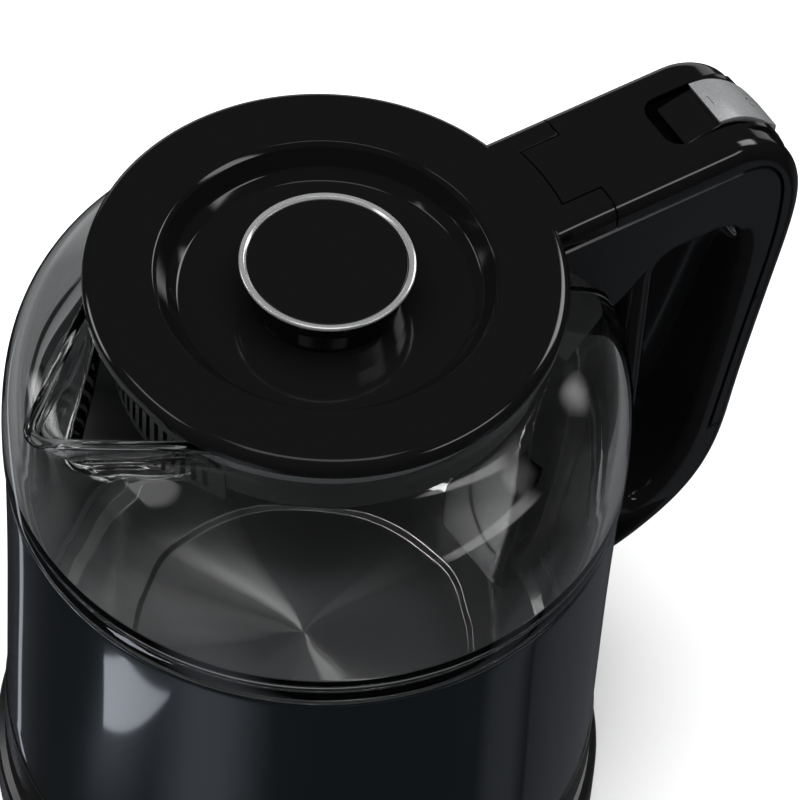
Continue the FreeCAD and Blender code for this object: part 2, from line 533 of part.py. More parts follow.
def hole(y):
    a = [V3(87.2, y, 70.2), V3(85.3, y, 70.6), V3(84.6, y, 72.6)]
    b = [V3(84.6, y, 161.2), V3(86.1, y, 164.8), V3(89.6, y, 166.2)]
    return [seg((89.6, 166.2), (100.0, 166.2), y), spline(hole_r, y), Part.Arc(*a).toShape(),
            Part.makeLine(a[2], b[0]), Part.Arc(*b).toShape()]


full = side_face(outline, hw).cut(side_face(hole, hw))


def round_edges(shape, r, keep):
    es = [e for e in shape.Edges if keep(e)]
    for rr in (r, r * 0.8, r * 0.6, r * 0.4):
        try:
            s = shape.makeFillet(rr, es)
            if s.isValid() and s.Volume > 0.5 * shape.Volume:
                return s, rr
        except Exception:
            pass
    return shape, 0.0


def outer_edge(e):
    b = e.BoundBox
    flat = abs(b.YMax - b.YMin) < 0.01 and abs(abs(b.YMin) - hw) < 0.01
    return flat and b.XMax > 90 and not (b.XMin < 51 and b.XMax < 70) and (b.ZMax > ht - 0.05 or b.XMax > 120)


def hole_edge(e):
    b = e.BoundBox
    flat = abs(b.YMax - b.YMin) < 0.01 and abs(abs(b.YMin) - hw) < 0.01
    return flat and b.XMin > 84 and b.XMax < 110 and b.ZMax < 170


full, r1 = round_edges(full, 5.0, outer_edge)
full, r2 = round_edges(full, 3.4, hole_edge)
print("handle rounding", r1, r2)
# clearance round the flask, the sleeve and the lid
body_c = turned([(0, 40), (75.0, 40), (75.0, 124.0), (75.6, 126.0), (76.0, 131.0), (76.0, 145.0), (75.6, 150.0), (74.6, 156.0),
                 (72.7, 162.0), (69.6, 166.4), (65.3, 170.0), (60.4, 173.4), (57.0, 176.0), (54.5, 180.0), (54.5, 200.0), (0, 200)])
end_c = cyl(P["han_end"], 60.0, V3(0, 0, 160))
full = full.cut(body_c).cut(end_c)
full = solids_of(full)
# hollow: an inner outline kept a wall inside the outer one
w = P["han_wall"]


def inset(y):
    b_in = [(103.0, ht - w), (110.4, ht - w - 1.8), (116.5, ht - w - 6.1), (121.0, ht - w - 12.8), (123.6, ht - w - 20.8), (123.3, 156.0),
            (120.6, 141.0), (116.7, 120.0), (113.0, 98.0), (110.3, 82.4), (106.9, 73.2), (100.8, 65.2), (92.2, 59.0), (82.0, 55.0)]
    return [seg((62.0, ht - w), (103.0, ht - w), y), spline(b_in, y), seg((82.0, 55.0), (77.6, 55.0), y), seg((77.6, 55.0), (77.6, 158.0), y),
            seg((77.6, 158.0), (62.0, 177.5), y), seg((62.0, 177.5), (62.0, ht - w), y)]


def hole_big(y):
    h_out = [(100.0, 168.4), (106.6, 166.6), (110.9, 160.6), (111.5, 152.0), (110.2, 139.0), (107.4, 118.0), (104.0, 96.0), (101.3, 83.8),
             (97.4, 75.4), (91.8, 69.8), (87.6, 68.0)]
    a = [V3(87.6, y, 68.0), V3(83.8, y, 68.8), V3(82.4, y, 72.6)]
    b = [V3(82.4, y, 161.6), V3(84.6, y, 166.5), V3(89.6, y, 168.4)]
    return [seg((89.6, 168.4), (100.0, 168.4), y), spline(h_out, y), Part.Arc(*a).toShape(), Part.makeLine(a[2], b[0]), Part.Arc(*b).toShape()]


cavity = side_face(inset, hw - 2.6).cut(side_face(hole_big, hw - 2.6))
cav_body = turned([(0, 40), (77.2, 40), (77.8, 126.0), (78.2, 131.0), (78.2, 146.0), (76.8, 156.0), (74.9, 162.8), (71.0, 168.4),
                   (66.0, 172.6), (61.0, 176.4), (60.8, 200.0), (0, 200)])
cavity = solids_of(cavity.cut(cav_body))
hollow = full.cut(cavity)
# parting surface between cover and shell
sz = ht - P["han_seam"]


def cover_zone(y, d=0.0):
    b = [(107.0, sz + d), (112.6, sz - 1.4 + d), (116.9, sz - 5.6 + d), (119.2, sz - 11.6), (119.7 + d, 168.0), (119.0 + d, 156.0),
         (116.6 + d, 141.0), (113.4 + d, 124.0), (109.9 + d, 104.0), (107.2 + d, 88.0)]
    return [seg((40.0, sz + d), (107.0, sz + d), y), spline(b, y), seg(b[-1], (135.0, 88.0 + d), y), seg((135.0, 88.0 + d), (135.0, 215.0), y),
            seg((135.0, 215.0), (40.0, 215.0), y), seg((40.0, 215.0), (40.0, sz + d), y)]


zone = side_face(lambda y: cover_zone(y, 0.0), hw + 5)
zone2 = side_face(lambda y: cover_zone(y, 0.14), hw + 5)
shell = hollow.cut(zone)
top = hollow.common(zone2)
# collar with two ears in front, tongue of the cover between them
ear = P["ear_x"]
tw = P["tongue_w"] / 2.0
col_zone = Part.makeBox(ear - 40, 80, 60, V3(40, -40, 160))
tongue = Part.makeBox(100, 2 * tw, 60, V3(0, -tw, 160)).cut(cyl(P["han_end"] + 1.3, 80, V3(0, 0, 150)))
col = top.common(col_zone.cut(tongue))
tongue_s = Part.makeBox(40, 2 * tw - 0.24, 60, V3(59.0, -tw + 0.12, 160)).cut(cyl(P["han_end"] + 1.45, 80, V3(0, 0, 150)))
cov = top.cut(Part.makeBox(ear + 0.14 - 40, 80, 60, V3(40, -40, 160)).cut(tongue_s))
# scooped recess for the switch
scoop_pts = [(92.2, ht + 6.0), (92.8, ht - 0.6), (95.0, hs - 6.4), (100.0, hs - 9.2), (126.5, hs - 18.2), (132.0, hs - 18.2), (132.0, ht + 6)]


def scoop_edges(y):
    e = []
    for i in range(len(scoop_pts)):
        e.append(seg(scoop_pts[i], scoop_pts[(i + 1) % len(scoop_pts)], y))
    return e


pw = P["pad_w"] / 2.0
scoop = side_face(scoop_edges, pw + 1.1)
try:
    scoop = scoop.makeFillet(3.0, [e for e in scoop.Edges if abs(abs(e.CenterOfMass.y) - pw - 1.1) < 0.01 and e.CenterOfMass.z < ht - 0.5
                                   and e.CenterOfMass.x < 125 and e.BoundBox.YLength < 0.01])
except Exception:
    print("scoop fillet skipped")
slot = Part.makeBox(16.0, pw * 2 - 2.0, 30, V3(102.6, -pw + 1.0, hs - 24.0))
cov_pre = cov
cov = cov.cut(scoop)
# floor under the scoop
def floor_edges(y):
    pts = [(91.0, ht - 0.9), (91.2, ht - 2.4), (93.4, hs - 8.0), (99.0, hs - 11.1), (119.0, hs - 17.8), (122.5, hs - 16.8), (100.0, hs - 9.2),
           (95.0, hs - 6.4), (92.8, ht - 0.6), (92.7, ht - 0.2)]
    return [seg(pts[i], pts[(i + 1) % len(pts)], y) for i in range(len(pts))]


floor_b = side_face(floor_edges, pw + 2.4).common(full).common(zone2)
cheeks = side_face(scoop_edges, pw + 2.6).cut(side_face(scoop_edges, pw + 1.1)).common(full).common(zone2)
cheeks = cheeks.common(Part.makeBox(60, 60, 60, V3(90, -30, hs - 17.0)))
cov = cov.fuse([floor_b.cut(scoop), cheeks.cut(scoop)]).cut(slot)
cov = cov.removeSplitter()
cs = sorted(cov.Solids, key=lambda s: -s.Volume)
print("cover solids", [round(s.Volume) for s in cs], "shell", [round(s.Volume) for s in shell.Solids], "collar", [round(s.Volume) for s in col.Solids])
pin_hole = cyl(P["pin_r"] + 0.02, 60, V3(P["pad_x"], -30, P["pad_z"]), V3(0, 1, 0))
handle_cover = cs[0].cut(cyl(P["pin_r"], pw * 2 + 4.4, V3(P["pad_x"], -pw - 2.2, P["pad_z"]), V3(0, 1, 0)))
feature("handle_cover", sorted(handle_cover.Solids, key=lambda s: -s.Volume)[0])
handle_shell = sorted(shell.Solids, key=lambda s: -s.Volume)[0]
handle_shell = handle_shell.cut(cyl(0.99, 30.8, V3(100.0, -15.4, 177.0), V3(0, 1, 0)))
for z in (72.0, 104.0):
    handle_shell = handle_shell.cut(cyl(1.7, 12, V3(70, 0, z), V3(1, 0, 0)))
feature("handle_shell", handle_shell)
feature("handle_collar", sorted(col.Solids, key=lambda s: -s.Volume)[0])
br = Part.makeBox(1.2, 14.0, 92.0, V3(78.6, -7.0, 62.0))
for z in (72.0, 104.0):
    br = br.cut(cyl(1.7, 12, V3(72, 0, z), V3(1, 0, 0)))
feature("handle_bracket", br)
feature("handle_screws", Part.makeCompound([screw((79.85, 0, z), (-1, 0, 0), 2.8, 1.4, 1.5, 7.2) for z in (72.0, 104.0)]))

# switch works inside the top bar
sb = Part.makeBox(21.0, 18.0, 9.0, V3(76.0, -9.0, 170.6)).fuse(Part.makeBox(6.0, 18.0, 14.0, V3(76.0, -9.0, 170.6)))
sb = sb.cut(Part.makeBox(13.0, 12.0, 7.0, V3(83.0, -6.0, 173.2))).cut(cyl(6.4, 2.0, V3(74.5, 0, 177.6), V3(1, 0, 0)))
feature("steam_switch_body", solids_of(sb.removeSplitter()))
sd = cyl(6.2, 0.5, V3(75.3, 0, 177.6), V3(1, 0, 0))
feature("steam_disc", sd)
ct = []
for y in (-4.0, 4.0):
    ct.append(Part.makeBox(12.0, 2.4, 0.4, V3(84.0, y - 1.2, 173.6)).fuse(cyl(1.0, 0.8, V3(94.5, y, 174.0))))
feature("switch_contacts", Part.makeCompound([solids_of(c) for c in ct]))
feature("steam_tube", pipe([(62.6, 0, 179.6), (66.0, 0, 179.2), (70.0, 0, 178.4), (74.6, 0, 177.6)], 1.9).cut(
    pipe([(61.8, 0, 179.65), (66.0, 0, 179.2), (70.0, 0, 178.4), (75.2, 0, 177.55)], 1.1)))
for y, nm in ((-3.7, "wire_live"), (3.7, "wire_return")):
    feature(nm, pipe([(99.0, y, 173.5), (106.0, y, 172.5), (112.5, y, 168.0), (115.4, y, 160.0), (115.5, y, 150.0), (113.2, y, 136.0),
                      (110.0, y, 118.0), (106.6, y, 98.0), (103.6, y, 83.0), (97.4, y, 72.4), (88.0, y, 64.6), (82.6, y, 62.0)], 1.0))
feature("paddle_pin", cyl(P["pin_r"] - 0.03, pw * 2 + 4.0, V3(P["pad_x"], -pw - 2.0, P["pad_z"]), V3(0, 1, 0)))

# ---------------------------------------------------------------- switch paddle
px, pz = P["pad_x"], P["pad_z"]
top_p = [(105.4, 195.1), (110.0, 194.2), (114.5, 191.8), (118.5, 188.4), (122.3, 184.0), (125.4, 179.6)]
low_p = [(124.2, 177.8), (117.0, 179.8), (110.0, 183.4), (102.0, 187.6)]
in_p = [(124.0, 179.3), (121.1, 183.1), (117.4, 187.2), (113.7, 190.3), (109.6, 192.6), (105.9, 193.5)]


def pad_edges(y):
    return [seg((96.4, 191.2), top_p[0], y), spline(top_p, y), seg(top_p[-1], low_p[0], y), spline(low_p, y),
            seg(low_p[-1], (98.4, 189.2), y), seg((98.4, 189.2), (96.4, 191.2), y)]


def cap_edges(y):
    return [spline(top_p, y), seg(top_p[-1], in_p[0], y), spline(in_p, y), seg(in_p[-1], top_p[0], y)]


# seen from above the paddle ends in a rounded tongue
plan_w = Part.Wire([Part.makeLine(V3(90, -pw, 170), V3(119, -pw, 170)), Part.Arc(V3(119, -pw, 170), V3(124.3, -4.7, 170), V3(126.3, 0, 170)).toShape(),
                    Part.Arc(V3(126.3, 0, 170), V3(124.3, 4.7, 170), V3(119, pw, 170)).toShape(), Part.makeLine(V3(119, pw, 170), V3(90, pw, 170)),
                    Part.makeLine(V3(90, pw, 170), V3(90, -pw, 170))])
plan_b = Part.Face(plan_w).extrude(V3(0, 0, 40))
pad = side_face(pad_edges, pw).common(plan_b)
cap = side_face(cap_edges, pw).common(plan_b)
paddle = pad.cut(cap)
web = Part.makeBox(7.0, pw * 2 - 3.0, 12.0, V3(px - 3.5, -pw + 1.5, pz - 4.0))
web = web.common(side_face(lambda y: [seg((90, 150), (130, 150), y), seg((130, 150), (130, hs - 10), y), seg((130, hs - 10), (90, hs - 3), y),
                                      seg((90, hs - 3), (90, 150), y)], pw))
tail = Part.makeBox(2.4, 5.0, 11.0, V3(103.8, -2.5, 177.5))
paddle = paddle.fuse([web, tail]).cut(cyl(P["pin_r"] + 0.03, 60, V3(px, -30, pz), V3(0, 1, 0)))
paddle = paddle.removeSplitter()
ps = sorted(paddle.Solids, key=lambda s: -s.Volume)
print("paddle solids", [round(s.Volume, 1) for s in ps])
feature("switch_paddle", ps[0])
capm = cap
try:
    capm = cap.makeFillet(0.8, [e for e in cap.Edges if abs(abs(e.CenterOfMass.y) - pw) < 0.01
                                and e.Length > 12 and e.CenterOfMass.z > ht - 3.6])
except Exception:
    print("cap fillet skipped")
# shallow marks: a bar and a ring
bar = Part.makeBox(0.5, 3.0, 1.2, V3(107.0, -1.5, 194.4))
ringm = cyl(1.6, 1.4, V3(0, 0, 0)).cut(cyl(1.1, 1.4, V3(0, 0, 0)))
ringm.Placement = FreeCAD.Placement(V3(117.46, 0, 188.6), FreeCAD.Rotation(V3(0, 1, 0), 43))
capm2 = capm.cut(bar).cut(ringm)
cc = sorted(capm2.Solids, key=lambda s: -s.Volume)
feature("paddle_cap", cc[0])
# trip lever: pivots on its own boss in the bar and follows the paddle's tail
tl = cyl(2.6, 6.0, V3(100.0, -3.0, 177.0), V3(0, 1, 0)).fuse(Part.makeBox(8.6, 4.0, 1.8, V3(100.0, -2.0, 175.2)))
tl = tl.fuse(Part.makeBox(1.8, 4.0, 6.0, V3(99.2, -2.0, 169.6))).cut(cyl(1.03, 12, V3(100.0, -6, 177.0), V3(0, 1, 0)))
feature("trip_lever", solids_of(tl.removeSplitter()))
feature("lever_pin", cyl(0.98, 30.4, V3(100.0, -15.2, 177.0), V3(0, 1, 0)))

# ---------------------------------------------------------------- placement
# the row's origin is under the middle of the overall length, so every node moves back along X
for o in nodes:
    sh = None
    if o.TypeId == "Part::Feature":
        sh = o.Shape.copy()
        sh.translate(V3(-P["x_back"], 0, 0))
        o.Shape = sh
    else:
        o.Placement = FreeCAD.Placement(V3(-P["x_back"], 0, 0), FreeCAD.Rotation())
        o.setExpression("Placement.Base.x", "Dims.x_back * -1 mm")

# ---------------------------------------------------------------- write
doc.recompute()
bad = 0
for o in doc.Objects:
    if any(s in ("Invalid", "Error") for s in o.State):
        print("BAD STATE", o.Name, o.State)
        bad += 1
for o in nodes:
    s = o.Shape
    if s.isNull() or not s.isValid():
        print("BAD SHAPE", o.Label, s.isNull())
        bad += 1
if bad:
    raise SystemExit("stopped: %d bad objects" % bad)
for o in nodes:
    o.Shape.exportStep("parts/%s.step" % o.Label)
print("written", len(nodes))
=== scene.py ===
import bpy
import bmesh
import json
import math
import numpy as np
from mathutils import Vector, Matrix, geometry


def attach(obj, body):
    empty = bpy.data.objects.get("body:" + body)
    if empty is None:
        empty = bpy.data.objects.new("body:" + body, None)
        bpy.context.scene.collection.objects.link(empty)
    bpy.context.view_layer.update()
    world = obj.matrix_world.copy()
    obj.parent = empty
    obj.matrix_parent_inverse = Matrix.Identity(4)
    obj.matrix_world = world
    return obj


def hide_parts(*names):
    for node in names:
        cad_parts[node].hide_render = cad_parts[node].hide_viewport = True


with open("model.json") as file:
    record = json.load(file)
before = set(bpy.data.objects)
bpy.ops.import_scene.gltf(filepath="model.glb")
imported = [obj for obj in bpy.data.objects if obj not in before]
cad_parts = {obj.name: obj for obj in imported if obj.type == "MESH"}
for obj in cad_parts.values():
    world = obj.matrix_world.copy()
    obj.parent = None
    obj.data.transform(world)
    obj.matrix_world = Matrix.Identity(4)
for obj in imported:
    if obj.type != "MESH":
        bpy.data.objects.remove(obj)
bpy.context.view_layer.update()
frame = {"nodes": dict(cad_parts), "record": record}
SX = -22.1          # the flask's axis in the row frame, mm
MM = 0.001
LT = 194.0          # height of the lid's flat rim
scene = bpy.context.scene


# ------------------------------------------------------------------ mesh helpers
def mk(name, verts, faces, angle=35.0):
    """mesh from millimetre points about the flask's axis"""
    me = bpy.data.meshes.new(name)
    v = np.asarray(verts, float).copy()
    v[:, 0] += SX
    me.from_pydata((v * MM).tolist(), [], faces)
    me.validate(verbose=False)
    bm = bmesh.new()
    bm.from_mesh(me)
    bmesh.ops.remove_doubles(bm, verts=bm.verts, dist=1e-7)
    bmesh.ops.recalc_face_normals(bm, faces=bm.faces)
    bm.to_mesh(me)
    bm.free()
    me.shade_smooth()
    me.set_sharp_from_angle(angle=math.radians(angle))
    o = bpy.data.objects.new(name, me)
    scene.collection.objects.link(o)
    return o


def smooth_again(o, angle=35.0):
    o.data.shade_smooth()
    o.data.set_sharp_from_angle(angle=math.radians(angle))
    return o


def rounded(pts, n=5):
    """closed outline; a point (x, y, r) is rounded with radius r"""
    out = []
    m = len(pts)
    for i in range(m):
        p = np.array(pts[i][:2], float)
        r = pts[i][2] if len(pts[i]) > 2 else 0.0
        if r <= 0:
            out.append(tuple(p))
            continue
        a = np.array(pts[i - 1][:2], float) - p
        b = np.array(pts[(i + 1) % m][:2], float) - p
        la, lb = np.linalg.norm(a), np.linalg.norm(b)
        a, b = a / la, b / lb
        ang = math.acos(max(-1, min(1, float(a @ b))))
        if ang > math.pi - 0.02:
            out.append(tuple(p))
            continue
        d = min(r / math.tan(ang / 2), 0.49 * la, 0.49 * lb)
        rr = d * math.tan(ang / 2)
        bis = (a + b) / np.linalg.norm(a + b)
        c = p + bis * (rr / math.sin(ang / 2))
        s, e = p + a * d - c, p + b * d - c
        t0, t1 = math.atan2(s[1], s[0]), math.atan2(e[1], e[0])
        dt = (t1 - t0 + math.pi) % (2 * math.pi) - math.pi
        for k in range(n + 1):
            t = t0 + dt * k / n
            out.append((c[0] + rr * math.cos(t), c[1] + rr * math.sin(t)))
    return out


def lathe(name, pts, seg=224, angle=28.0, n=5):
    """solid of revolution about the flask's axis from a closed (r, z) outline"""
    prof = rounded(pts, n)
    clean = [prof[0]]
    for p in prof[1:]:
        if math.hypot(p[0] - clean[-1][0], p[1] - clean[-1][1]) > 1e-5:
            clean.append(p)
    verts, rows = [], []
    for r, z in clean:
        if r < 1e-6:
            rows.append([len(verts)] * seg)
            verts.append((0, 0, z))
        else:
            rows.append(list(range(len(verts), len(verts) + seg)))
            for k in range(seg):
                a = 2 * math.pi * k / seg
                verts.append((r * math.cos(a), r * math.sin(a), z))
    faces = []
    m = len(rows)
    for i in range(m):
        a, b = rows[i], rows[(i + 1) % m]
        if a[0] == a[1] and b[0] == b[1]:
            continue
        for k in range(seg):
            q = (k + 1) % seg
            f = [a[k], a[q], b[q], b[k]]
            f = [f[j] for j in range(4) if f[j] != f[j - 1]]
            if len(f) >= 3:
                faces.append(f)
    return mk(name, verts, faces, angle)


def spl(pts, n=10, ends=None):
    """natural cubic through points, sampled"""
    p = np.array(pts, float)
    t = np.r_[0, np.cumsum(np.linalg.norm(np.diff(p, axis=0), axis=1))]
    m = len(p)
    A = np.zeros((m, m))
    B = np.zeros((m, 2))
    h = np.diff(t)
    A[0, 0] = A[-1, -1] = 1
    if ends is not None:
        A[0, 0], A[0, 1] = 2 * h[0], h[0]
        B[0] = 6 * ((p[1] - p[0]) / h[0] - np.array(ends[0]))
        A[-1, -1], A[-1, -2] = 2 * h[-1], h[-1]
        B[-1] = 6 * (np.array(ends[1]) - (p[-1] - p[-2]) / h[-1])
    for i in range(1, m - 1):
        A[i, i - 1], A[i, i], A[i, i + 1] = h[i - 1], 2 * (h[i - 1] + h[i]), h[i]
        B[i] = 6 * ((p[i + 1] - p[i]) / h[i] - (p[i] - p[i - 1]) / h[i - 1])
    M = np.linalg.solve(A, B)
    out = []
    for i in range(m - 1):
        k = n if i < m - 2 else n + 1
        for j in range(k):
            x = t[i] + h[i] * j / n
            a, b = (t[i + 1] - x), (x - t[i])
            q = (M[i] * a ** 3 + M[i + 1] * b ** 3) / (6 * h[i]) + (p[i] / h[i] - M[i] * h[i] / 6) * a + (p[i + 1] / h[i] - M[i + 1] * h[i] / 6) * b
            out.append((float(q[0]), float(q[1])))
    return out


def offset(poly, d):
    """closed outline moved d to its left"""
    p = np.array(poly, float)
    a = np.roll(p, 1, 0)
    b = np.roll(p, -1, 0)
    e1 = p - a
    e2 = b - p
    n1 = np.c_[-e1[:, 1], e1[:, 0]] / np.linalg.norm(e1, axis=1)[:, None]
    n2 = np.c_[-e2[:, 1], e2[:, 0]] / np.linalg.norm(e2, axis=1)[:, None]
    s = n1 + n2
    s /= np.maximum((s * n1).sum(1), 0.35 * np.linalg.norm(s, axis=1))[:, None]
    return p + s * d


def area(poly):
    p = np.array(poly, float)
    q = np.roll(p, -1, 0)
    return 0.5 * float((p[:, 0] * q[:, 1] - q[:, 0] * p[:, 1]).sum())


def slab(name, outer, half, r, hole=None, rh=None, n=7, angle=30.0, yc=0.0, crown=0.0):
    """side outline in X-Z pushed out to both sides of the middle plane, with rounded edges"""
    if area(outer) < 0:
        outer = outer[::-1]
    if hole is not None and area(hole) > 0:
        hole = hole[::-1]
    loops = [(outer, r)] + ([(hole, rh)] if hole is not None else [])
    verts, faces = [], []
    caps = {-1: [], 1: []}
    for poly, rad in loops:
        rings = []
        for side in (-1, 1):
            seq = range(n, -1, -1) if side < 0 else range(n + 1)
            for k in seq:
                f = math.radians(90 * k / n)
                ins = rad * (1 - math.cos(f))
                y = side * (half - rad + rad * math.sin(f))
                q = offset(poly, ins) if ins > 0 else np.array(poly, float)
                base = len(verts)
                for x, z in q:
                    verts.append((x, yc + y, z))
                ring = list(range(base, base + len(q)))
                rings.append(ring)
                if k == n:
                    caps[side].append(ring)
        m = len(poly)
        for i in range(len(rings) - 1):
            a, b = rings[i], rings[i + 1]
            for k in range(m):
                q = (k + 1) % m
                faces.append([a[k], a[q], b[q], b[k]])
    for side in (-1, 1):
        polys = [[Vector((verts[i][0], verts[i][2], 0)) for i in ring] for ring in caps[side]]
        idx = [i for ring in caps[side] for i in ring]
        for t in geometry.tessellate_polygon(polys):
            faces.append([idx[j] for j in t])
    return mk(name, verts, faces, angle)


def ring_slab(name, poly, rings_y, angle=30.0):
    """outline carried through given (y, inset) stations"""
    if area(poly) < 0:
        poly = poly[::-1]
    m = len(poly)
    verts, faces = [], []
    for y, ins in rings_y:
        q = offset(poly, ins) if ins else np.array(poly, float)
        verts += [(x, y, z) for x, z in q]
    for i in range(len(rings_y) - 1):
        for k in range(m):
            q = (k + 1) % m
            faces.append([i * m + k, i * m + q, (i + 1) * m + q, (i + 1) * m + k])
    for i in (0, len(rings_y) - 1):
        for t in geometry.tessellate_polygon([[Vector((verts[i * m + k][0], verts[i * m + k][2], 0)) for k in range(m)]]):
            faces.append([i * m + j for j in t])
    return mk(name, verts, faces, angle)


def boolean(a, b, op, drop=True):
    m = a.modifiers.new("cut", "BOOLEAN")
    m.operation = op
    m.solver = "EXACT"
    m.object = b
    bpy.context.view_layer.update()
    dg = bpy.context.evaluated_depsgraph_get()
    me = bpy.data.meshes.new_from_object(a.evaluated_get(dg))
    a.modifiers.clear()
    old = a.data
    a.data = me
    bpy.data.meshes.remove(old)
    if drop:
        bpy.data.objects.remove(b)
    return a


def tidy(o, angle=30.0):
    bm = bmesh.new()
    bm.from_mesh(o.data)
    bmesh.ops.remove_doubles(bm, verts=bm.verts, dist=2e-6)
    bmesh.ops.dissolve_degenerate(bm, edges=bm.edges, dist=2e-6)
    bm.to_mesh(o.data)
    bm.free()
    return smooth_again(o, angle)


def copy(o, name):
    c = o.copy()
    c.data = o.data.copy()
    c.name = name
    scene.collection.objects.link(c)
    return c


def block(name, x0, x1, y0, y1, z0, z1):
    v = [(x, y, z) for x in (x0, x1) for y in (y0, y1) for z in (z0, z1)]
    f = [[0, 1, 3, 2], [4, 6, 7, 5], [0, 4, 5, 1], [2, 3, 7, 6], [0, 2, 6, 4], [1, 5, 7, 3]]
    return mk(name, v, f)


def soft_edge(o, w, seg=3, angle=35.0):
    m = o.modifiers.new("edge", "BEVEL")
    m.width = w * MM
    m.segments = seg
    m.limit_method = "ANGLE"
    m.angle_limit = math.radians(angle)
    m.harden_normals = False
    return o


# ------------------------------------------------------------------ materials
def mat(name):
    m = bpy.data.materials.new(name)
    m.use_nodes = True
    nt = m.node_tree
    return m, nt, nt.nodes["Principled BSDF"]


def tex_coord(nt):
    return nt.nodes.new("ShaderNodeTexCoord").outputs["Object"]


def noise(nt, co, scale, detail=3.0, rough=0.55):
    n = nt.nodes.new("ShaderNodeTexNoise")
    n.inputs["Scale"].default_value = scale
    n.inputs["Detail"].default_value = detail
    n.inputs["Roughness"].default_value = rough
    nt.links.new(co, n.inputs["Vector"])
    return n.outputs["Fac"]


def rng(nt, v, a, b, c, d):
    n = nt.nodes.new("ShaderNodeMapRange")
    for i, x in ((1, a), (2, b), (3, c), (4, d)):
        n.inputs[i].default_value = x
    nt.links.new(v, n.inputs[0])
    return n.outputs[0]


def bump(nt, p, h, strength, dist):
    b = nt.nodes.new("ShaderNodeBump")
    b.inputs["Strength"].default_value = strength
    b.inputs["Distance"].default_value = dist
    nt.links.new(h, b.inputs["Height"])
    nt.links.new(b.outputs["Normal"], p.inputs["Normal"])


def plastic(name, col, r0, r1, scale=900.0, bs=0.0, spec=0.5, ior=1.5):
    m, nt, p = mat(name)
    p.inputs["Base Color"].default_value = (*col, 1)
    p.inputs["IOR"].default_value = ior
    p.inputs["Specular IOR Level"].default_value = spec
    co = tex_coord(nt)
    f = noise(nt, co, 14.0, 4.0, 0.6)
    nt.links.new(rng(nt, f, 0.3, 0.7, r0, r1), p.inputs["Roughness"])
    if bs > 0:
        bump(nt, p, noise(nt, co, scale, 2.0), bs, 0.0002)
    return m


def metal(name, col, rough, grain=(1, 1, 1), gscale=300.0, aniso=0.0, bs=0.05):
    m, nt, p = mat(name)
    p.inputs["Base Color"].default_value = (*col, 1)
    p.inputs["Metallic"].default_value = 1.0
    co = tex_coord(nt)
    mp = nt.nodes.new("ShaderNodeMapping")
    mp.inputs["Scale"].default_value = grain
    nt.links.new(co, mp.inputs["Vector"])
    f = noise(nt, mp.outputs["Vector"], gscale, 3.0)
    nt.links.new(rng(nt, f, 0.25, 0.75, rough * 0.8, rough * 1.25), p.inputs["Roughness"])
    if aniso:
        p.inputs["Anisotropic"].default_value = aniso
    if bs:
        bump(nt, p, f, bs, 0.0001)
    return m


M = {}
M["black_gloss"] = plastic("black_gloss", (0.0035, 0.0035, 0.0037), 0.05, 0.11, 260.0, 0.02)
M["black_satin"] = plastic("black_satin", (0.006, 0.006, 0.0063), 0.22, 0.34, 1400.0, 0.12)
M["black_matte"] = plastic("black_matte", (0.012, 0.012, 0.012), 0.42, 0.6, 1600.0, 0.25)
M["rubber"] = plastic("rubber", (0.02, 0.02, 0.02), 0.6, 0.8, 1200.0, 0.3, 0.3)
M["acetal_grey"] = plastic("acetal_grey", (0.35, 0.35, 0.34), 0.3, 0.42, 900.0, 0.08)
M["silicone"] = plastic("silicone", (0.42, 0.44, 0.45), 0.3, 0.45, 900.0, 0.08, 0.4)
M["wire_brown"] = plastic("wire_brown", (0.12, 0.04, 0.02), 0.3, 0.4)
M["wire_blue"] = plastic("wire_blue", (0.03, 0.08, 0.3), 0.3, 0.4)
M["zinc_steel"] = metal("zinc_steel", (0.62, 0.62, 0.63), 0.28)
M["brass"] = metal("brass", (0.8, 0.6, 0.28), 0.25)
M["aluminium"] = metal("aluminium", (0.78, 0.78, 0.79), 0.35)
M["element_alloy"] = metal("element_alloy", (0.5, 0.49, 0.48), 0.4)
M["chrome_ring"] = metal("chrome_ring", (0.72, 0.72, 0.73), 0.16, bs=0.0)
M["chrome_ring"].node_tree.nodes["Principled BSDF"].inputs["Metallic"].default_value = 0.8

# matt silver-grey paint with a fine sparkle
m, nt, p = mat("silver_paint")
co = tex_coord(nt)
v = nt.nodes.new("ShaderNodeTexVoronoi")
v.inputs["Scale"].default_value = 2600.0
nt.links.new(co, v.inputs["Vector"])
cr = nt.nodes.new("ShaderNodeMix")
cr.data_type = "RGBA"
cr.inputs[6].default_value = (0.17, 0.172, 0.176, 1)
cr.inputs[7].default_value = (0.26, 0.263, 0.268, 1)
nt.links.new(rng(nt, v.outputs["Distance"], 0.1, 0.7, 0, 1), cr.inputs[0])
nt.links.new(cr.outputs[2], p.inputs["Base Color"])
p.inputs["Metallic"].default_value = 0.35
nt.links.new(rng(nt, noise(nt, co, 30.0), 0.3, 0.7, 0.34, 0.44), p.inputs["Roughness"])
M["silver_paint"] = m

# clear glass
m, nt, p = mat("clear_glass")
p.inputs["Base Color"].default_value = (0.985, 0.995, 0.992, 1)
p.inputs["Transmission Weight"].default_value = 1.0
p.inputs["IOR"].default_value = 1.47
p.inputs["Roughness"].default_value = 0.0
co = tex_coord(nt)
mp = nt.nodes.new("ShaderNodeMapping")
mp.inputs["Scale"].default_value = (1, 1, 0.35)
nt.links.new(co, mp.inputs["Vector"])
bump(nt, p, noise(nt, mp.outputs["Vector"], 26.0, 2.0), 0.10, 0.0012)
M["clear_glass"] = m

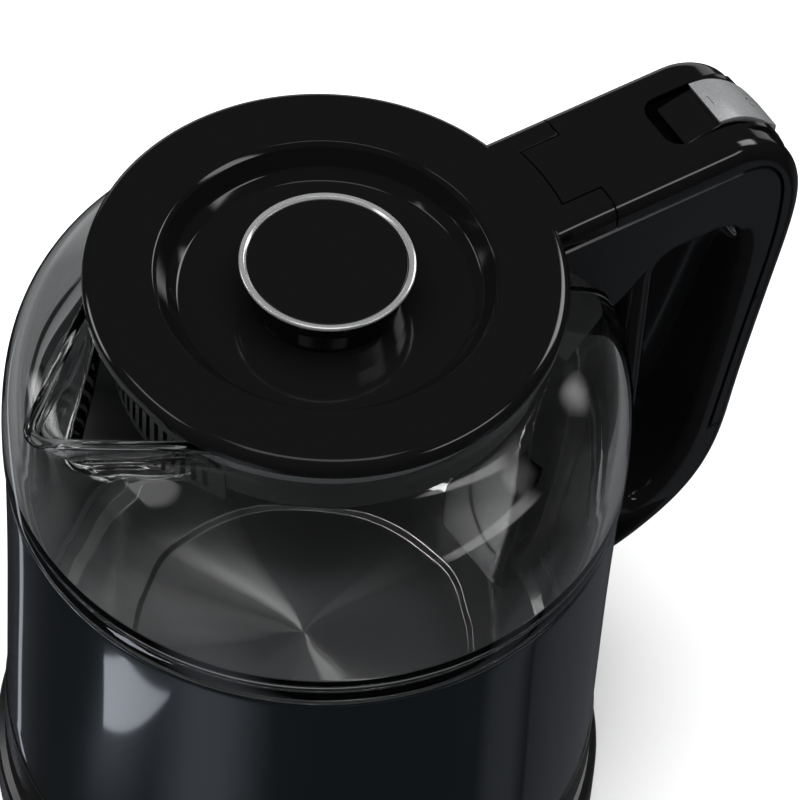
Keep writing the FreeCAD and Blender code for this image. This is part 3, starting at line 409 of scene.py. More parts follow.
# dark blue-black metallic lacquer under a clear coat
m, nt, p = mat("sleeve_lacquer")
co = tex_coord(nt)
v = nt.nodes.new("ShaderNodeTexVoronoi")
v.inputs["Scale"].default_value = 3200.0
nt.links.new(co, v.inputs["Vector"])
cr = nt.nodes.new("ShaderNodeMix")
cr.data_type = "RGBA"
cr.inputs[6].default_value = (0.0045, 0.0085, 0.0115, 1)
cr.inputs[7].default_value = (0.012, 0.017, 0.022, 1)
nt.links.new(rng(nt, v.outputs["Distance"], 0.05, 0.6, 0, 1), cr.inputs[0])
nt.links.new(cr.outputs[2], p.inputs["Base Color"])
p.inputs["Metallic"].default_value = 0.55
p.inputs["Roughness"].default_value = 0.3
p.inputs["Coat Weight"].default_value = 1.0
p.inputs["Coat IOR"].default_value = 1.5
nt.links.new(rng(nt, noise(nt, co, 9.0), 0.3, 0.7, 0.03, 0.06), p.inputs["Coat Roughness"])
M["sleeve_lacquer"] = m

# spun stainless steel: circular grain about the axis, with painted highlight wedges (the bow-tie reflections of the
# lamps) in the base colour
m, nt, p = mat("spun_steel")
p.inputs["Metallic"].default_value = 1.0
p.inputs["Base Color"].default_value = (0.60, 0.60, 0.59, 1)
p.inputs["Anisotropic"].default_value = 0.92
tg = nt.nodes.new("ShaderNodeTangent")
tg.direction_type = "RADIAL"
tg.axis = "Z"
nt.links.new(tg.outputs["Tangent"], p.inputs["Tangent"])
co = tex_coord(nt)
sh = nt.nodes.new("ShaderNodeVectorMath")
sh.operation = "SUBTRACT"
sh.inputs[1].default_value = (SX * MM, 0, 0)
nt.links.new(co, sh.inputs[0])
fl = nt.nodes.new("ShaderNodeVectorMath")
fl.operation = "MULTIPLY"
fl.inputs[1].default_value = (1, 1, 0)
nt.links.new(sh.outputs[0], fl.inputs[0])
ln = nt.nodes.new("ShaderNodeVectorMath")
ln.operation = "LENGTH"
nt.links.new(fl.outputs[0], ln.inputs[0])
cb = nt.nodes.new("ShaderNodeCombineXYZ")
nt.links.new(ln.outputs["Value"], cb.inputs[0])
g1 = noise(nt, cb.outputs[0], 2600.0, 4.0, 0.7)
nt.links.new(rng(nt, g1, 0.25, 0.75, 0.26, 0.38), p.inputs["Roughness"])
bump(nt, p, g1, 0.22, 0.00004)
dr = nt.nodes.new("ShaderNodeVectorMath")
dr.operation = "NORMALIZE"
nt.links.new(fl.outputs[0], dr.inputs[0])


def painted_highlight_sector(px, py, lo, hi):
    """1 inside a sector about the axis, pointing px to the viewer's right and py away; the mask of one painted
    highlight wedge
    """
    az_, el_ = math.radians(-34.3), math.radians(51.72)
    gx = math.cos(az_) * px - math.sin(az_) * py / math.sin(el_)
    gy = math.sin(az_) * px + math.cos(az_) * py / math.sin(el_)
    n_ = math.hypot(gx, gy)
    d_ = nt.nodes.new("ShaderNodeVectorMath")
    d_.operation = "DOT_PRODUCT"
    d_.inputs[1].default_value = (gx / n_, gy / n_, 0)
    nt.links.new(dr.outputs[0], d_.inputs[0])
    return rng(nt, d_.outputs["Value"], lo, hi, 0, 1)


def add_(u, v_, op="MAXIMUM"):
    q_ = nt.nodes.new("ShaderNodeMath")
    q_.operation = op
    nt.links.new(u, q_.inputs[0])
    nt.links.new(v_, q_.inputs[1])
    return q_.outputs[0]


def scaled(u, k):
    q_ = nt.nodes.new("ShaderNodeMath")
    q_.operation = "MULTIPLY"
    q_.inputs[1].default_value = k
    nt.links.new(u, q_.inputs[0])
    return q_.outputs[0]


# painted highlights: near-white wedges mixed into the steel's base colour, aimed from the camera's view and fixed on
# the plate, standing in for reflections of the lamps
painted_highlight_mask = add_(painted_highlight_sector(-225, 195, 0.955, 0.992), scaled(painted_highlight_sector(70, 60, 0.985, 0.998), 0.30))
painted_highlight_mask = add_(painted_highlight_mask, painted_highlight_sector(55, -60, 0.975, 0.995))
painted_highlight_mask = add_(painted_highlight_mask, scaled(painted_highlight_sector(-350, 20, 0.975, 0.997), 0.75))
# base colour runs from plain darker steel (0.42) to the painted highlight colour (0.96) inside the wedges
painted_highlight_mix = nt.nodes.new("ShaderNodeMix")
painted_highlight_mix.data_type = "RGBA"
painted_highlight_mix.inputs[6].default_value = (0.42, 0.42, 0.422, 1)
painted_highlight_mix.inputs[7].default_value = (0.96, 0.96, 0.95, 1)
nt.links.new(painted_highlight_mask, painted_highlight_mix.inputs[0])
nt.links.new(painted_highlight_mix.outputs[2], p.inputs["Base Color"])
M["spun_steel"] = m


def finish_of(o, slot):
    o.data.materials.clear()
    o.data.materials.append(M[slot])
    for f in o.data.polygons:
        f.material_index = 0


slots = {s["node"]: s["material_slot"] for s in frame["record"]["subparts"]}
for name, o in frame["nodes"].items():
    finish_of(o, slots[name])
    o.data.shade_smooth()
    o.data.set_sharp_from_angle(angle=math.radians(32))


def piece(o, node, body=None, slot=None):
    """a detailed piece that stands for CAD node(s)"""
    nodes = [node] if isinstance(node, str) else list(node)
    s = slot or slots[nodes[0]]
    finish_of(o, s)
    if body is None:
        for b, ns in frame["record"]["behaviour"]["bodies"].items():
            if nodes[0] in ns:
                body = b
    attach(o, body)
    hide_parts(*nodes)
    return o


# ------------------------------------------------------------------ glass flask
GT = 2.6
NECK, NTOP = 53.5, 188.4
shoulder = [(71.8, 44.4), (71.8, 60.0), (71.8, 90.0), (71.8, 112.0), (71.8, LT - 74.5), (71.85, LT - 71.6), (72.6, LT - 69.4), (74.0, LT - 68.2), (74.9, LT - 66.4),
            (75.3, LT - 63.0), (75.5, LT - 55.0), (75.2, LT - 46.0), (74.2, LT - 38.5), (72.2, LT - 32.6), (69.2, LT - 28.2), (65.0, LT - 24.6),
            (60.0, LT - 21.2), (56.2, LT - 18.4), (54.0, LT - 15.8), (53.5, LT - 13.0), (53.5, LT - 10.0), (53.5, NTOP)]


def resample(pts, step):
    p = np.array(pts)
    t = np.r_[0, np.cumsum(np.linalg.norm(np.diff(p, axis=0), axis=1))]
    n = max(2, int(t[-1] / step))
    u = np.linspace(0, t[-1], n)
    return np.c_[np.interp(u, t, p[:, 0]), np.interp(u, t, p[:, 1])]


out_c = np.array([(71.8, 44.4), (71.8, 60.0), (71.8, 90.0), (71.8, 112.0)] + spl(shoulder[4:20], 8) + [(53.5, LT - 10.0), (53.5, NTOP)])
out_c = resample(out_c, 1.15)
d = np.gradient(out_c, axis=0)
nrm = np.c_[-d[:, 1], d[:, 0]] / np.linalg.norm(d, axis=1)[:, None]
in_c = out_c + nrm * GT
in_c[:, 0] = np.minimum(in_c[:, 0], out_c[:, 0] - 1.2)
low = in_c[:, 1] < LT - 60
in_c[low, 0] = np.minimum(in_c[low, 0], 69.2 + 3.4 / (1 + np.exp(-(in_c[low, 1] - (LT - 65.5)) / 1.8)))
keep = np.r_[True, np.diff(np.maximum.accumulate(in_c[:, 1])) > 1e-4]
in_c = in_c[keep]

ZK = np.array([NTOP - 27.4, NTOP - 19.0, NTOP - 10.0, NTOP])


def poly3(vals):
    return np.polyfit(ZK - NTOP, np.array(vals, float), 3)


BO = dict(tip=poly3([62.5, 70.0, 77.6, 82.0]), y0=poly3([17.0, 26.0, 33.0, 37.5]), r=poly3([4.0, 5.0, 5.5, 5.5]))
BI = dict(tip=poly3([58.0, 66.4, 74.2, 79.0]), y0=poly3([13.6, 22.6, 29.6, 34.2]), r=poly3([2.0, 2.6, 2.9, 2.9]))


def beak(th, z, B):
    """radius of the spout's plan outline at angle th from the spout's middle"""
    zz = np.clip(z - NTOP, -27.4, 0.0)
    tip, y0, r = (np.polyval(B[k], zz) for k in ("tip", "y0", "r"))
    c = tip - r
    # lips: straight lines from (34, y0) touching the tip circle
    dx, dy = c - 34.0, -y0
    L = np.hypot(dx, dy)
    al = np.arctan2(-dy, dx) + np.arcsin(np.clip(r / L, -1, 1)) * 0
    # normal angle solves 34 sin a + y0 cos a = c sin a + r
    ph = np.arctan2(y0, 34.0 - c)
    R = np.hypot(34.0 - c, y0)
    a = np.arcsin(np.clip(r / R, -1, 1)) - 0.0
    # (34-c) sin a + y0 cos a = r  ->  R sin(a + ph2) = r
    ph2 = np.arctan2(y0, 34.0 - c)
    al = np.pi - np.arcsin(np.clip(r / R, -1, 1)) - ph2
    al = np.where(al < 0, np.arcsin(np.clip(r / R, -1, 1)) - ph2, al)
    dd = c * np.sin(al) + r
    t = np.abs(th)
    line = dd / np.sin(np.clip(al + t, 1e-3, np.pi - 0.15))
    tt = np.arctan2(r * np.cos(al), c + r * np.sin(al))
    circ = c * np.cos(t) + np.sqrt(np.maximum(r * r - (c * np.sin(t)) ** 2, 0))
    return np.where(t < tt, circ, np.where(t > 1.1, 0.0, line)) - np.where(z < NTOP - 27.4, (NTOP - 27.4 - z) * 1.2, 0.0)


def smax(a, b, k):
    h = np.maximum(k - np.abs(a - b), 0) / k
    return np.maximum(a, b) + h * h * k * 0.25


dense = np.radians(np.arange(-44, 44, 0.5))
coarse = np.radians(np.arange(44, 316, 1.25))
TH = np.r_[dense, coarse]            # angle from the spout's middle
ths = np.where(TH > np.pi, TH - 2 * np.pi, TH)
lipR = smax(np.full_like(ths, NECK), beak(ths, np.full_like(ths, NTOP - 4.0), BO), 3.0)
xo = lipR * np.cos(ths)
ZTOP = NTOP - np.maximum(xo - 50.5, 0) * (NTOP - 182.4) / (82.0 - 50.5)
ZTOP = np.where(xo > 0, ZTOP, NTOP)


def rows(curve, B, k):
    out = []
    zc = LT - 24.0
    for r, z in curve:
        zz = np.where(z > zc, zc + (z - zc) * (ZTOP - zc) / (NTOP - zc), z)
        rr = smax(np.full_like(ths, r), beak(ths, zz, B), k) if z > NTOP - 34 else np.full_like(ths, r)
        out.append((rr, zz))
    return out


ro = rows(out_c, BO, 5.0)
ri = rows(in_c, BI, 3.5)
# rounded lip between the two walls
(ra, za), (rb, zb_) = ro[-1], ri[-1]
ro = [x for x in ro if float(np.max(x[1] - (ZTOP - 1.2))) < 0 or x is ro[-1]]
ri = [x for x in ri if float(np.max(x[1] - (ZTOP - 1.2))) < 0 or x is ri[-1]]
lip = []
for k in range(0, 9):
    f = math.pi * k / 8
    mid, half = (ra + rb) / 2, (ra - rb) / 2
    lip.append((mid + half * math.cos(f), ZTOP - 1.3 + 1.3 * math.sin(f)))
allr = ro[:-1] + lip + ri[:-1][::-1]
verts, faces = [], []
n = len(TH)
for rr, zz in allr:
    for j in range(n):
        verts.append((-rr[j] * math.cos(TH[j]), -rr[j] * math.sin(TH[j]), zz[j]))
m_ = len(allr)
for i in range(m_):
    a, b = i * n, ((i + 1) % m_) * n
    for j in range(n):
        q = (j + 1) % n
        faces.append([a + j, a + q, b + q, b + j])
glass = piece(mk("vis_flask", verts, faces, 60.0), "flask")

# ------------------------------------------------------------------ turned pieces
piece(lathe("vis_sleeve", [(74.0, 32.3, .2)] + [(x, z) for x, z in spl([(73.9, 40.0), (73.9, 62.0), (73.95, 85.0), (74.25, 108.0), (74.6, 124.0)], 8)]
            + [(74.6, 125.0, .25), (73.8, 125.0, .25), (73.4, 108.0), (73.1, 85.0), (73.1, 62.0), (73.2, 32.3, .2)], 288), "body_sleeve")
piece(lathe("vis_bottom_housing", [(21.6, 21.5, .3), (70.0, 21.5, .4), (70.6, 19.3, .4), (72.6, 19.3, .8), (74.4, 21.3, 1.2), (74.4, 32.0, .3), (72.4, 32.0, .3),
                                   (72.4, 43.0, .3), (70.2, 43.0, .3), (70.2, 23.9, .3), (23.8, 23.9, .3), (23.8, 31.3, .2), (21.6, 31.3, .2)], 256), "bottom_housing")
lid = [(47.8, LT - 5.0, .2), (56.4, LT - 5.0, .5), (57.0, LT - 4.4, .5), (57.0, LT - 3.0)]
lid += [(54.0 + 3 * math.cos(math.radians(a)), LT - 3.0 + 3 * math.sin(math.radians(a))) for a in range(10, 90, 8)]
lid += [(54.0, LT), (40.6, LT, .8), (39.6, LT - 1.0, .6), (37.1, LT - 5.6, 3.0), (34.6, LT - 7.7, 1.5), (20.0, LT - 7.9), (1.7, LT - 7.9), (1.7, LT - 10.3),
        (37.4, LT - 10.0, .5), (38.8, LT - 8.8, .5), (42.2, LT - 2.6, .3), (47.8, LT - 2.6, .3)]
piece(lathe("vis_lid", lid, 288), "lid_top")
kn = [(14.6, LT - 7.85), (17.4, LT - 7.85, .3), (17.8, LT - 6.0, .6), (18.9, LT - 1.0, 1.5), (19.6, LT + 3.2, .3), (19.85, LT + 3.5), (18.8, LT + 3.5, .1), (18.8, LT + 4.3, .2),
      (18.0, LT + 4.35), (10.0, LT + 4.05), (0.0, LT + 3.95), (0.0, LT + 1.9), (1.62, LT + 1.9), (1.62, LT - 7.85), (5.4, LT - 7.85), (5.4, LT + 1.4), (16.0, LT + 1.6), (16.6, LT - 1.0)]
piece(lathe("vis_knob", kn, 224), "lid_knob")
KZ = 198.8
piece(lathe("vis_knob_ring", [(18.95, KZ - 1.2), (20.5, KZ - 1.2, .2), (20.75, KZ - .7, .4), (20.6, KZ - .15, .4), (20.1, KZ, .4), (19.5, KZ - .1, .3), (18.95, KZ - .5, .1)], 256, n=6), "knob_ring")
piece(lathe("vis_plate", [(0.0, 47.5), (41.5, 47.5), (44.3, 48.9), (61.0, 48.9), (64.0, 50.7, .5), (66.6, 50.7, .4), (66.6, 43.2, .3), (71.5, 43.2, .3), (71.5, 44.0, .3), (67.6, 44.0, .4),
                          (67.6, 51.3, .4), (67.2, 51.7, .3), (63.7, 51.7, .6), (60.6, 49.9, 1.2), (43.6, 49.9, .6), (42.4, 48.5, .6), (0.0, 48.5)], 256), "heating_plate")
# ------------------------------------------------------------------ handle
HT, HW, HS = 193.9, 17.05, 192.4
back = spl([(104.0, HT), (111.3, HT - 1.8), (118.0, HT - 6.6), (123.1, HT - 13.8), (125.9, HT - 22.4), (125.6, 156.0), (122.9, 140.6), (119.0, 119.6), (115.3, 97.5),
            (112.6, 81.5), (108.9, 71.5), (102.4, 62.9), (93.4, 56.5), (83.3, 52.1), (66.4, 47.8)], 7, ((1, 0), (-1, -0.3)))
outer = [(50.0, HT), (60.0, HT), (72.0, HT), (84.0, HT), (94.0, HT)] + back + [(50.0, 47.8), (50.0, 90.0), (50.0, 140.0)]
hr = spl([(100.0, 166.2), (105.4, 164.6), (108.8, 159.6), (109.3, 152.0), (108.0, 139.0), (105.2, 118.0), (101.8, 96.0), (99.2, 84.5), (95.6, 77.0), (90.8, 71.8), (87.2, 70.2)], 6,
         ((1, 0), (-1, -.25)))


def arc3(c, r, a0, a1, n=7):
    return [(c[0] + r * math.cos(math.radians(a0 + (a1 - a0) * k / n)), c[1] + r * math.sin(math.radians(a0 + (a1 - a0) * k / n))) for k in range(n + 1)]


hole = hr + arc3((86.9, 72.5), 2.3, 265, 180, 6) + [(84.6, 90.0), (84.6, 110.0), (84.6, 135.0)] + arc3((89.6, 161.2), 5.0, 180, 90, 8) + [(94.0, 166.2)]
full = slab("handle_full", outer, HW, 4.2, hole, 3.6, 9)
clear = lathe("clear", [(0, 40), (75.0, 40), (75.0, 124.0), (75.6, 126.0), (76.0, 131.0), (76.0, 145.0), (75.6, 150.0), (74.6, 156.0),
                        (72.7, 162.0), (69.6, 166.4), (65.3, 170.0), (60.4, 173.4), (58.6, 174.6), (58.6, 215.0), (0, 215.0)], 224)
full = boolean(full, clear, "DIFFERENCE")
w = 2.2
cav_o = [(79.4, HT - w)] + spl([(103.0, HT - w), (110.4, HT - w - 1.8), (116.5, HT - w - 6.1), (121.0, HT - w - 12.8), (123.6, HT - w - 20.8), (123.3, 156.0),
         (120.6, 141.0), (116.7, 120.0), (113.0, 98.0), (110.3, 82.4), (106.9, 73.2), (100.8, 65.2), (92.2, 59.0), (82.0, 55.0)], 5) + [(79.4, 55.0)]
cav_h = [(x, z) for x, z in offset(hole if area(hole) > 0 else hole[::-1], -2.2)]
cav = slab("cav", cav_o, HW - 2.6, 0.6, [tuple(q) for q in cav_h], 0.6, 2)
cav2 = slab("cav2", [(62.5, 179.0), (79.5, 170.0), (79.5, HT - w), (62.5, HT - w)], HW - 2.6, 0.3, n=1)
full = boolean(full, cav, "DIFFERENCE")
full = boolean(full, cav2, "DIFFERENCE")
SZ = HT - 7.6


def zone(name, d):
    b = [(107.0, SZ + d), (112.6, SZ - 1.4 + d), (116.9, SZ - 5.6 + d), (119.2 + d, SZ - 11.6), (119.7 + d, 168.0), (119.0 + d, 156.0), (116.6 + d, 141.0),
         (113.4 + d, 124.0), (109.9 + d, 104.0), (107.2 + d, 88.0)]
    pts = [(40.0, SZ + d)] + spl(b, 6) + [(135.0, 88.0 + d), (135.0, 215.0), (40.0, 215.0)]
    if d == 0:
        return ring_slab(name, pts, [(-HW - 1.0, -1.75), (-HW + 0.75, 0.0), (HW - 0.75, 0.0), (HW + 1.0, -1.75)])
    return slab(name, pts, HW + 5, 0.2, n=1)


GAP = 0.34
shell = boolean(copy(full, "vis_handle_shell"), zone("z1", 0.0), "DIFFERENCE")
top = boolean(full, zone("z2", GAP), "INTERSECT")
EAR, TW = 70.0, 9.5
col_zone = block("cz", 40, EAR, -40, 40, 150, 230)
tongue = boolean(block("tg", 0, 100, -TW, TW, 140, 240), lathe("tc", [(0, 130), (59.9, 130), (59.9, 250), (0, 250)], 160), "DIFFERENCE")
collar = boolean(copy(top, "vis_handle_collar"), boolean(col_zone, tongue, "DIFFERENCE"), "INTERSECT")
EG = 0.42
col_big = block("cz2", 40, EAR + EG, -40, 40, 150, 230)
ton2 = boolean(block("tg2", 0, 100, -TW + EG, TW - EG, 140, 240), lathe("tc2", [(0, 130), (59.9 + EG, 130), (59.9 + EG, 250), (0, 250)], 160), "DIFFERENCE")
cover = boolean(top, boolean(col_big, ton2, "DIFFERENCE"), "DIFFERENCE")
cover.name = "vis_handle_cover"
PW = 6.9
SCO = PW + 1.1


def plan_bar(name, x0, half, rc, pts_z):
    """prism seen from above: straight sides and a rounded front end"""
    pl = [(140.0, -half), (140.0, half)] + [(x0 + rc - rc * math.sin(math.radians(t)), half - rc + rc * math.cos(math.radians(t))) for t in range(0, 91, 10)]
    pl += [(x0 + rc - rc * math.cos(math.radians(t)), -(half - rc) - rc * math.sin(math.radians(t))) for t in range(0, 91, 10)]
    n_ = len(pl)
    vs = [(x, y, pts_z[0]) for x, y in pl] + [(x, y, pts_z[1]) for x, y in pl]
    fs = [list(range(n_)), list(range(n_, 2 * n_))[::-1]] + [[i, (i + 1) % n_, n_ + (i + 1) % n_, n_ + i] for i in range(n_)]
    return mk(name, vs, fs)


sc = [(90.0, HT + 6.0), (90.0, HS - 2.0), (93.6, HS - 5.4), (100.0, HS - 9.2), (112.0, HS - 13.4), (126.5, HS - 18.2), (134.0, HS - 18.2), (134.0, HT + 6)]
scoop = boolean(slab("scoop", sc, SCO + 2.0, 0.3, n=1), plan_bar("sp", 91.6, SCO, 4.6, (150.0, 230.0)), "INTERSECT")
cover = boolean(cover, copy(scoop, "scoop2"), "DIFFERENCE")
# floor and cheeks of the recess
well_o = slab("well", [(88.6, HT - 0.6), (88.6, HS - 4.0), (93.0, HS - 8.4), (99.0, HS - 11.1), (119.0, HS - 17.8), (123.4, HS - 17.6), (124.3, HS - 14.0), (122.0, HS - 9.0), (119.5, HS - 5.0),
                      (115.0, HS - 1.4), (108.0, HT - 0.8)], SCO + 1.6, 0.2, n=1)
well_o = boolean(well_o, plan_bar("wp", 90.0, SCO + 1.6, 5.6, (150.0, 230.0)), "INTERSECT")
well = boolean(well_o, scoop, "DIFFERENCE")
well = boolean(well, block("pin_slot", 104.0, 118.0, -5.4, 5.4, 160.0, 200.0), "DIFFERENCE")
for o in (shell, collar, cover, well):
    tidy(o)
soft_edge(shell, 0.45, 3)
soft_edge(collar, 0.35, 2)
soft_edge(cover, 0.35, 2)
piece(shell, "handle_shell")
piece(collar, "handle_collar")
piece(cover, "handle_cover")
finish_of(well, "black_gloss")
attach(well, "kettle")

# ------------------------------------------------------------------ switch paddle
top_p = spl([(105.4, 195.1), (110.0, 194.2), (114.5, 191.8), (118.5, 188.4), (122.3, 184.0), (125.4, 179.6)], 8)
low_p = spl([(124.2, 177.8), (117.0, 179.8), (110.0, 183.4), (102.0, 187.6)], 6)
in_p = spl([(124.0, 179.3), (121.1, 183.1), (117.4, 187.2), (113.7, 190.3), (109.6, 192.6), (105.9, 193.5)], 8)


def tongue_plan(name, half, x1, z0, z1):
    t = [math.radians(90 - 180 * k / 24) for k in range(25)]
    pl = [(90.0, half)] + [(119.0 + (x1 - 119.0) * max(math.cos(a), 0) ** 0.85, half * math.copysign(abs(math.sin(a)) ** 0.9, math.sin(a))) for a in t] + [(90.0, -half)]
    n_ = len(pl)
    vs = [(x, y, z0) for x, y in pl] + [(x, y, z1) for x, y in pl]
    fs = [list(range(n_)), list(range(n_, 2 * n_))[::-1]] + [[i, (i + 1) % n_, n_ + (i + 1) % n_, n_ + i] for i in range(n_)]
    return mk(name, vs, fs)


pad = slab("vis_paddle", [(96.4, 191.2)] + in_p[::-1] + low_p + [(98.4, 189.2)], PW - 0.12, 0.8, n=4)
pad = boolean(pad, tongue_plan("pl1", PW - 0.1, 126.2, 160, 220), "INTERSECT")
tidy(pad)
soft_edge(pad, 0.3, 2)
piece(pad, "switch_paddle")
cap = slab("vis_cap", top_p + in_p, PW, 0.25, n=2)
cap = boolean(cap, tongue_plan("pl2", PW, 126.3, 160, 220), "INTERSECT")


def ring_cut(name, p, tilt, r0, r1, depth):
    """ring-shaped cutter standing on p with its axis leaning back by tilt"""
    vs, fs = [], []
    seg = 40
    ca, sa = math.cos(tilt), math.sin(tilt)
    for rr, h in ((r0, -depth), (r1, -depth), (r1, 2.0), (r0, 2.0)):
        for k in range(seg):
            a = 2 * math.pi * k / seg
            u, v_ = rr * math.cos(a), rr * math.sin(a)
            vs.append((p[0] + u * ca + h * sa, p[1] + v_, p[2] - u * sa + h * ca))
    for i in range(4):
        for k in range(seg):
            q = (k + 1) % seg
            fs.append([i * seg + k, i * seg + q, ((i + 1) % 4) * seg + q, ((i + 1) % 4) * seg + k])
    return mk(name, vs, fs)


cap = boolean(cap, block("bar", 107.0, 107.5, -1.5, 1.5, 194.55, 197.0), "DIFFERENCE")
cap = boolean(cap, ring_cut("ring", (119.6, 0.0, 187.2), math.radians(46), 1.15, 1.65, 0.3), "DIFFERENCE")
tidy(cap)
soft_edge(cap, 0.28, 3)
piece(cap, "paddle_cap")

# ------------------------------------------------------------------ floor and light
me = bpy.data.meshes.new("floor")
me.from_pydata([(-6, -6, 0), (6, -6, 0), (6, 6, 0), (-6, 6, 0)], [], [[0, 1, 2, 3]])
floor = bpy.data.objects.new("floor", me)
scene.collection.objects.link(floor)
m, nt, p = mat("floor_paper")
p.inputs["Base Color"].default_value = (0.86, 0.86, 0.86, 1)
p.inputs["Roughness"].default_value = 0.9
p.inputs["Specular IOR Level"].default_value = 0.1
me.materials.append(m)
floor.visible_glossy = False

world = bpy.data.worlds.new("world")
scene.world = world
world.use_nodes = True
bg = world.node_tree.nodes["Background"]
bg.inputs[0].default_value = (0.9, 0.95, 1.0, 1)
bg.inputs[1].default_value = 0.016


def area_light(name, pos, target, sx, sy, power, col=(1, 1, 1)):
    ld = bpy.data.lights.new(name, "AREA")
    ld.shape = "RECTANGLE"
    ld.size, ld.size_y = sx, sy
    ld.energy = power
    ld.color = col
    o = bpy.data.objects.new(name, ld)
    scene.collection.objects.link(o)
    o.location = pos
    o.rotation_mode = "QUATERNION"
    o.rotation_quaternion = (Vector(target) - Vector(pos)).to_track_quat("-Z", "Y")
    return o


T = Vector((SX * MM, 0.0, (LT - 55.0) * MM))
AZ, EL, ROLL, DIST, FPX = math.radians(-34.3), math.radians(51.72), math.radians(3.73), 1.5, 6267.0


def polar(az, el, d):
    """a place d metres from the kettle; az counted from the camera's own azimuth"""
    a, e = AZ + math.radians(az), math.radians(el)
    return T + Vector((math.sin(a) * math.cos(e), -math.cos(a) * math.cos(e), math.sin(e))) * d


def card(name, az, el, d, w, h, strength, col=(1, 1, 1), roll=0.0, target=None, glass=True, soft=0.0, glossy=True):
    """bright studio panel seen only in reflections (and through the glass)"""
    o_t = target or T
    pos = polar(az, el, d)
    me = bpy.data.meshes.new(name)
    me.from_pydata([(-w / 2, -h / 2, 0), (w / 2, -h / 2, 0), (w / 2, h / 2, 0), (-w / 2, h / 2, 0)], [], [[0, 1, 2, 3]])
    o = bpy.data.objects.new(name, me)
    scene.collection.objects.link(o)
    o.location = pos
    o.rotation_mode = "QUATERNION"
    q = (Vector(o_t) - pos).to_track_quat("Z", "Y")
    o.rotation_quaternion = q @ Matrix.Rotation(math.radians(roll), 4, "Z").to_quaternion()
    m = bpy.data.materials.new(name)
    m.use_nodes = True
    nt = m.node_tree
    nt.nodes.clear()
    em = nt.nodes.new("ShaderNodeEmission")
    em.inputs[0].default_value = (*col, 1)
    em.inputs[1].default_value = strength
    if soft > 0:
        tc = nt.nodes.new("ShaderNodeTexCoord").outputs["Object"]
        sep = nt.nodes.new("ShaderNodeSeparateXYZ")
        nt.links.new(tc, sep.inputs[0])
        prod = None
        for ax, hf in ((0, w / 2), (1, h / 2)):
            ab = nt.nodes.new("ShaderNodeMath")
            ab.operation = "ABSOLUTE"
            nt.links.new(sep.outputs[ax], ab.inputs[0])
            fall = nt.nodes.new("ShaderNodeMapRange")
            fall.interpolation_type = "SMOOTHSTEP"
            for i_, x_ in ((1, hf * (1 - soft)), (2, hf), (3, 1.0), (4, 0.0)):
                fall.inputs[i_].default_value = x_
            nt.links.new(ab.outputs[0], fall.inputs[0])
            if prod is None:
                prod = fall.outputs[0]
            else:
                mu = nt.nodes.new("ShaderNodeMath")
                mu.operation = "MULTIPLY"
                nt.links.new(prod, mu.inputs[0])
                nt.links.new(fall.outputs[0], mu.inputs[1])
                prod = mu.outputs[0]
        mu = nt.nodes.new("ShaderNodeMath")
        mu.operation = "MULTIPLY"
        mu.inputs[1].default_value = strength
        nt.links.new(prod, mu.inputs[0])
        nt.links.new(mu.outputs[0], em.inputs[1])
    out = nt.nodes.new("ShaderNodeOutputMaterial")
    nt.links.new(em.outputs[0], out.inputs[0])
    me.materials.append(m)
    m.cycles.emission_sampling = "NONE"
    o.visible_glossy = glossy
    o.visible_camera = False
    o.visible_diffuse = False
    o.visible_shadow = False
    o.visible_volume_scatter = False
    o.visible_transmission = glass
    return o


floor.visible_transmission = False
over = area_light("overhead", (0, 0, 3.2), (0, 0, 0), 3.6, 3.6, 250)
over.visible_glossy = False
over.visible_transmission = False
side = area_light("soft_left", polar(-60, 40, 2.2), T, 1.2, 1.2, 16)
side.visible_glossy = False
side.visible_transmission = False
BLUE = (0.90, 0.95, 1.06)
card("c_wedge_r", 90, 50, 1.6, 0.30, 0.9, 2.5, soft=0.6, glossy=False)
card("c_wedge_l", -90, 48, 1.6, 0.50, 1.3, 13.0, soft=0.5, glossy=False)
card("c_right", 66, 35, 1.6, 1.1, 0.30, 3.6, glass=False, soft=0.45)
card("c_left", -82, 50, 1.6, 0.75, 0.30, 2.2, glass=False, soft=0.3)
card("c_tip", -104, 4, 1.6, 0.8, 0.6, 3.4, soft=0.5)
card("c_hand", 130, 33, 1.6, 0.95, 0.80, 4.6, glass=False, soft=0.45)
card("c_top", 0, 86, 1.6, 0.8, 0.5, 1.3, glass=False)
card("c_back", 180, -6, 1.8, 3.0, 0.9, 0.6, glass=False, soft=0.3)
card("c_low_right", 128, -55, 0.9, 1.0, 1.3, 0.07, BLUE, glass=False, soft=0.7)
card("c_low_side", 82, -52, 0.9, 0.25, 1.0, 0.09, BLUE, glass=False, soft=0.7)
card("c_low_front", -32, -55, 0.9, 0.50, 1.0, 0.30, BLUE, glass=False, soft=0.9)
card("c_low_edge", -134, -55, 0.9, 0.05, 1.2, 0.7, BLUE, glass=False, soft=0.5)


def panel(name, pts, strength, col=(1, 1, 1), glass=False):
    """bright card given by its own corners, metres in the row frame"""
    me = bpy.data.meshes.new(name)
    me.from_pydata(pts, [], [list(range(len(pts)))])
    o = bpy.data.objects.new(name, me)
    scene.collection.objects.link(o)
    m = bpy.data.materials.new(name)
    m.use_nodes = True
    nt = m.node_tree
    nt.nodes.clear()
    em = nt.nodes.new("ShaderNodeEmission")
    em.inputs[0].default_value = (*col, 1)
    em.inputs[1].default_value = strength
    out = nt.nodes.new("ShaderNodeOutputMaterial")
    nt.links.new(em.outputs[0], out.inputs[0])
    me.materials.append(m)
    m.cycles.emission_sampling = "NONE"
    for f in ("visible_camera", "visible_diffuse", "visible_shadow", "visible_volume_scatter"):
        setattr(o, f, False)
    o.visible_transmission = glass
    return o


panel("c_window", [(-0.193, 0.0306, -0.0482), (-0.1981, 0.0049, -0.0423), (-0.1949, -0.0478, -0.0488), (-0.1951, 0.0285, -0.0761)], 2.3, BLUE)
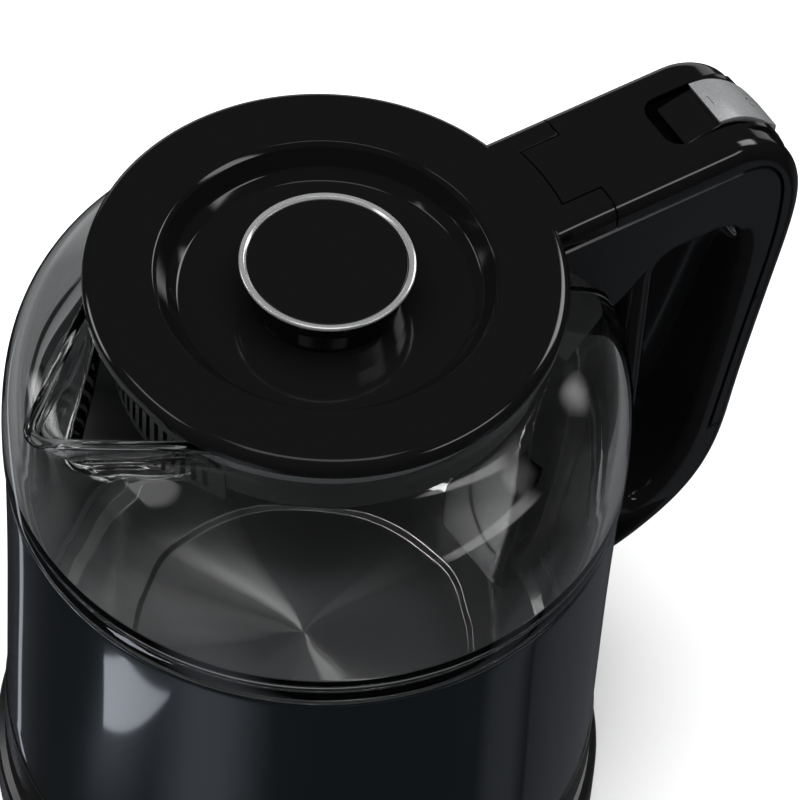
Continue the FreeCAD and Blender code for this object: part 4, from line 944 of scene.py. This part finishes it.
# grey surroundings, seen only through the glass
R_ = 8.0
pv, pf = [], []
for i in range(13):
    e = math.radians(-90 + 15 * i)
    for k in range(24):
        a_ = math.radians(15 * k)
        pv.append((R_ * math.cos(e) * math.cos(a_), R_ * math.cos(e) * math.sin(a_), R_ * math.sin(e)))
for i in range(12):
    for k in range(24):
        q = (k + 1) % 24
        pf.append([i * 24 + k, i * 24 + q, (i + 1) * 24 + q, (i + 1) * 24 + k])
dome = panel("c_surround", [(0, 0, 0), (0, 0.1, 0), (0.1, 0, 0)], 0.07, (0.98, 1.0, 1.02), True)
dome.data.clear_geometry()
dome.data.from_pydata(pv, [], pf)
dome.visible_glossy = False
# the surroundings are brighter towards the viewer's left
nt = dome.data.materials[0].node_tree
em = [n for n in nt.nodes if n.type == "EMISSION"][0]
gm = nt.nodes.new("ShaderNodeNewGeometry")
nv = nt.nodes.new("ShaderNodeVectorMath")
nv.operation = "NORMALIZE"
nt.links.new(gm.outputs["Position"], nv.inputs[0])
dl = nt.nodes.new("ShaderNodeVectorMath")
dl.operation = "DOT_PRODUCT"
dl.inputs[1].default_value = (-math.cos(AZ), -math.sin(AZ), 0.0)
nt.links.new(nv.outputs[0], dl.inputs[0])
nt.links.new(rng(nt, dl.outputs["Value"], -0.10, 0.75, 0.15, 0.25), em.inputs[1])

# ------------------------------------------------------------------ camera
cam = bpy.data.cameras.new("cam")
co_ = bpy.data.objects.new("cam", cam)
scene.collection.objects.link(co_)
scene.camera = co_
cam.sensor_width = 36.0
cam.lens = FPX * 36.0 / 800.0
cam.clip_start, cam.clip_end = 0.05, 30.0
back_v = Vector((math.sin(AZ) * math.cos(EL), -math.cos(AZ) * math.cos(EL), math.sin(EL)))
loc = T + back_v * DIST
fwd = -back_v
right = fwd.cross(Vector((0, 0, 1))).normalized()
up = right.cross(fwd).normalized()
rc = right * math.cos(ROLL) + up * math.sin(ROLL)
uc = up * math.cos(ROLL) - right * math.sin(ROLL)
px0, py0 = 318 - 0.7, 422 - 2.6
aim = (fwd * FPX + rc * (400 - px0) + uc * (py0 - 400)).normalized()
r2 = (rc - aim * rc.dot(aim)).normalized()
u2 = r2.cross(aim).normalized()
mw = Matrix((r2, u2, -aim)).transposed().to_4x4()
mw.translation = loc
co_.matrix_world = mw

scene.view_settings.view_transform = "Standard"
scene.view_settings.look = "None"
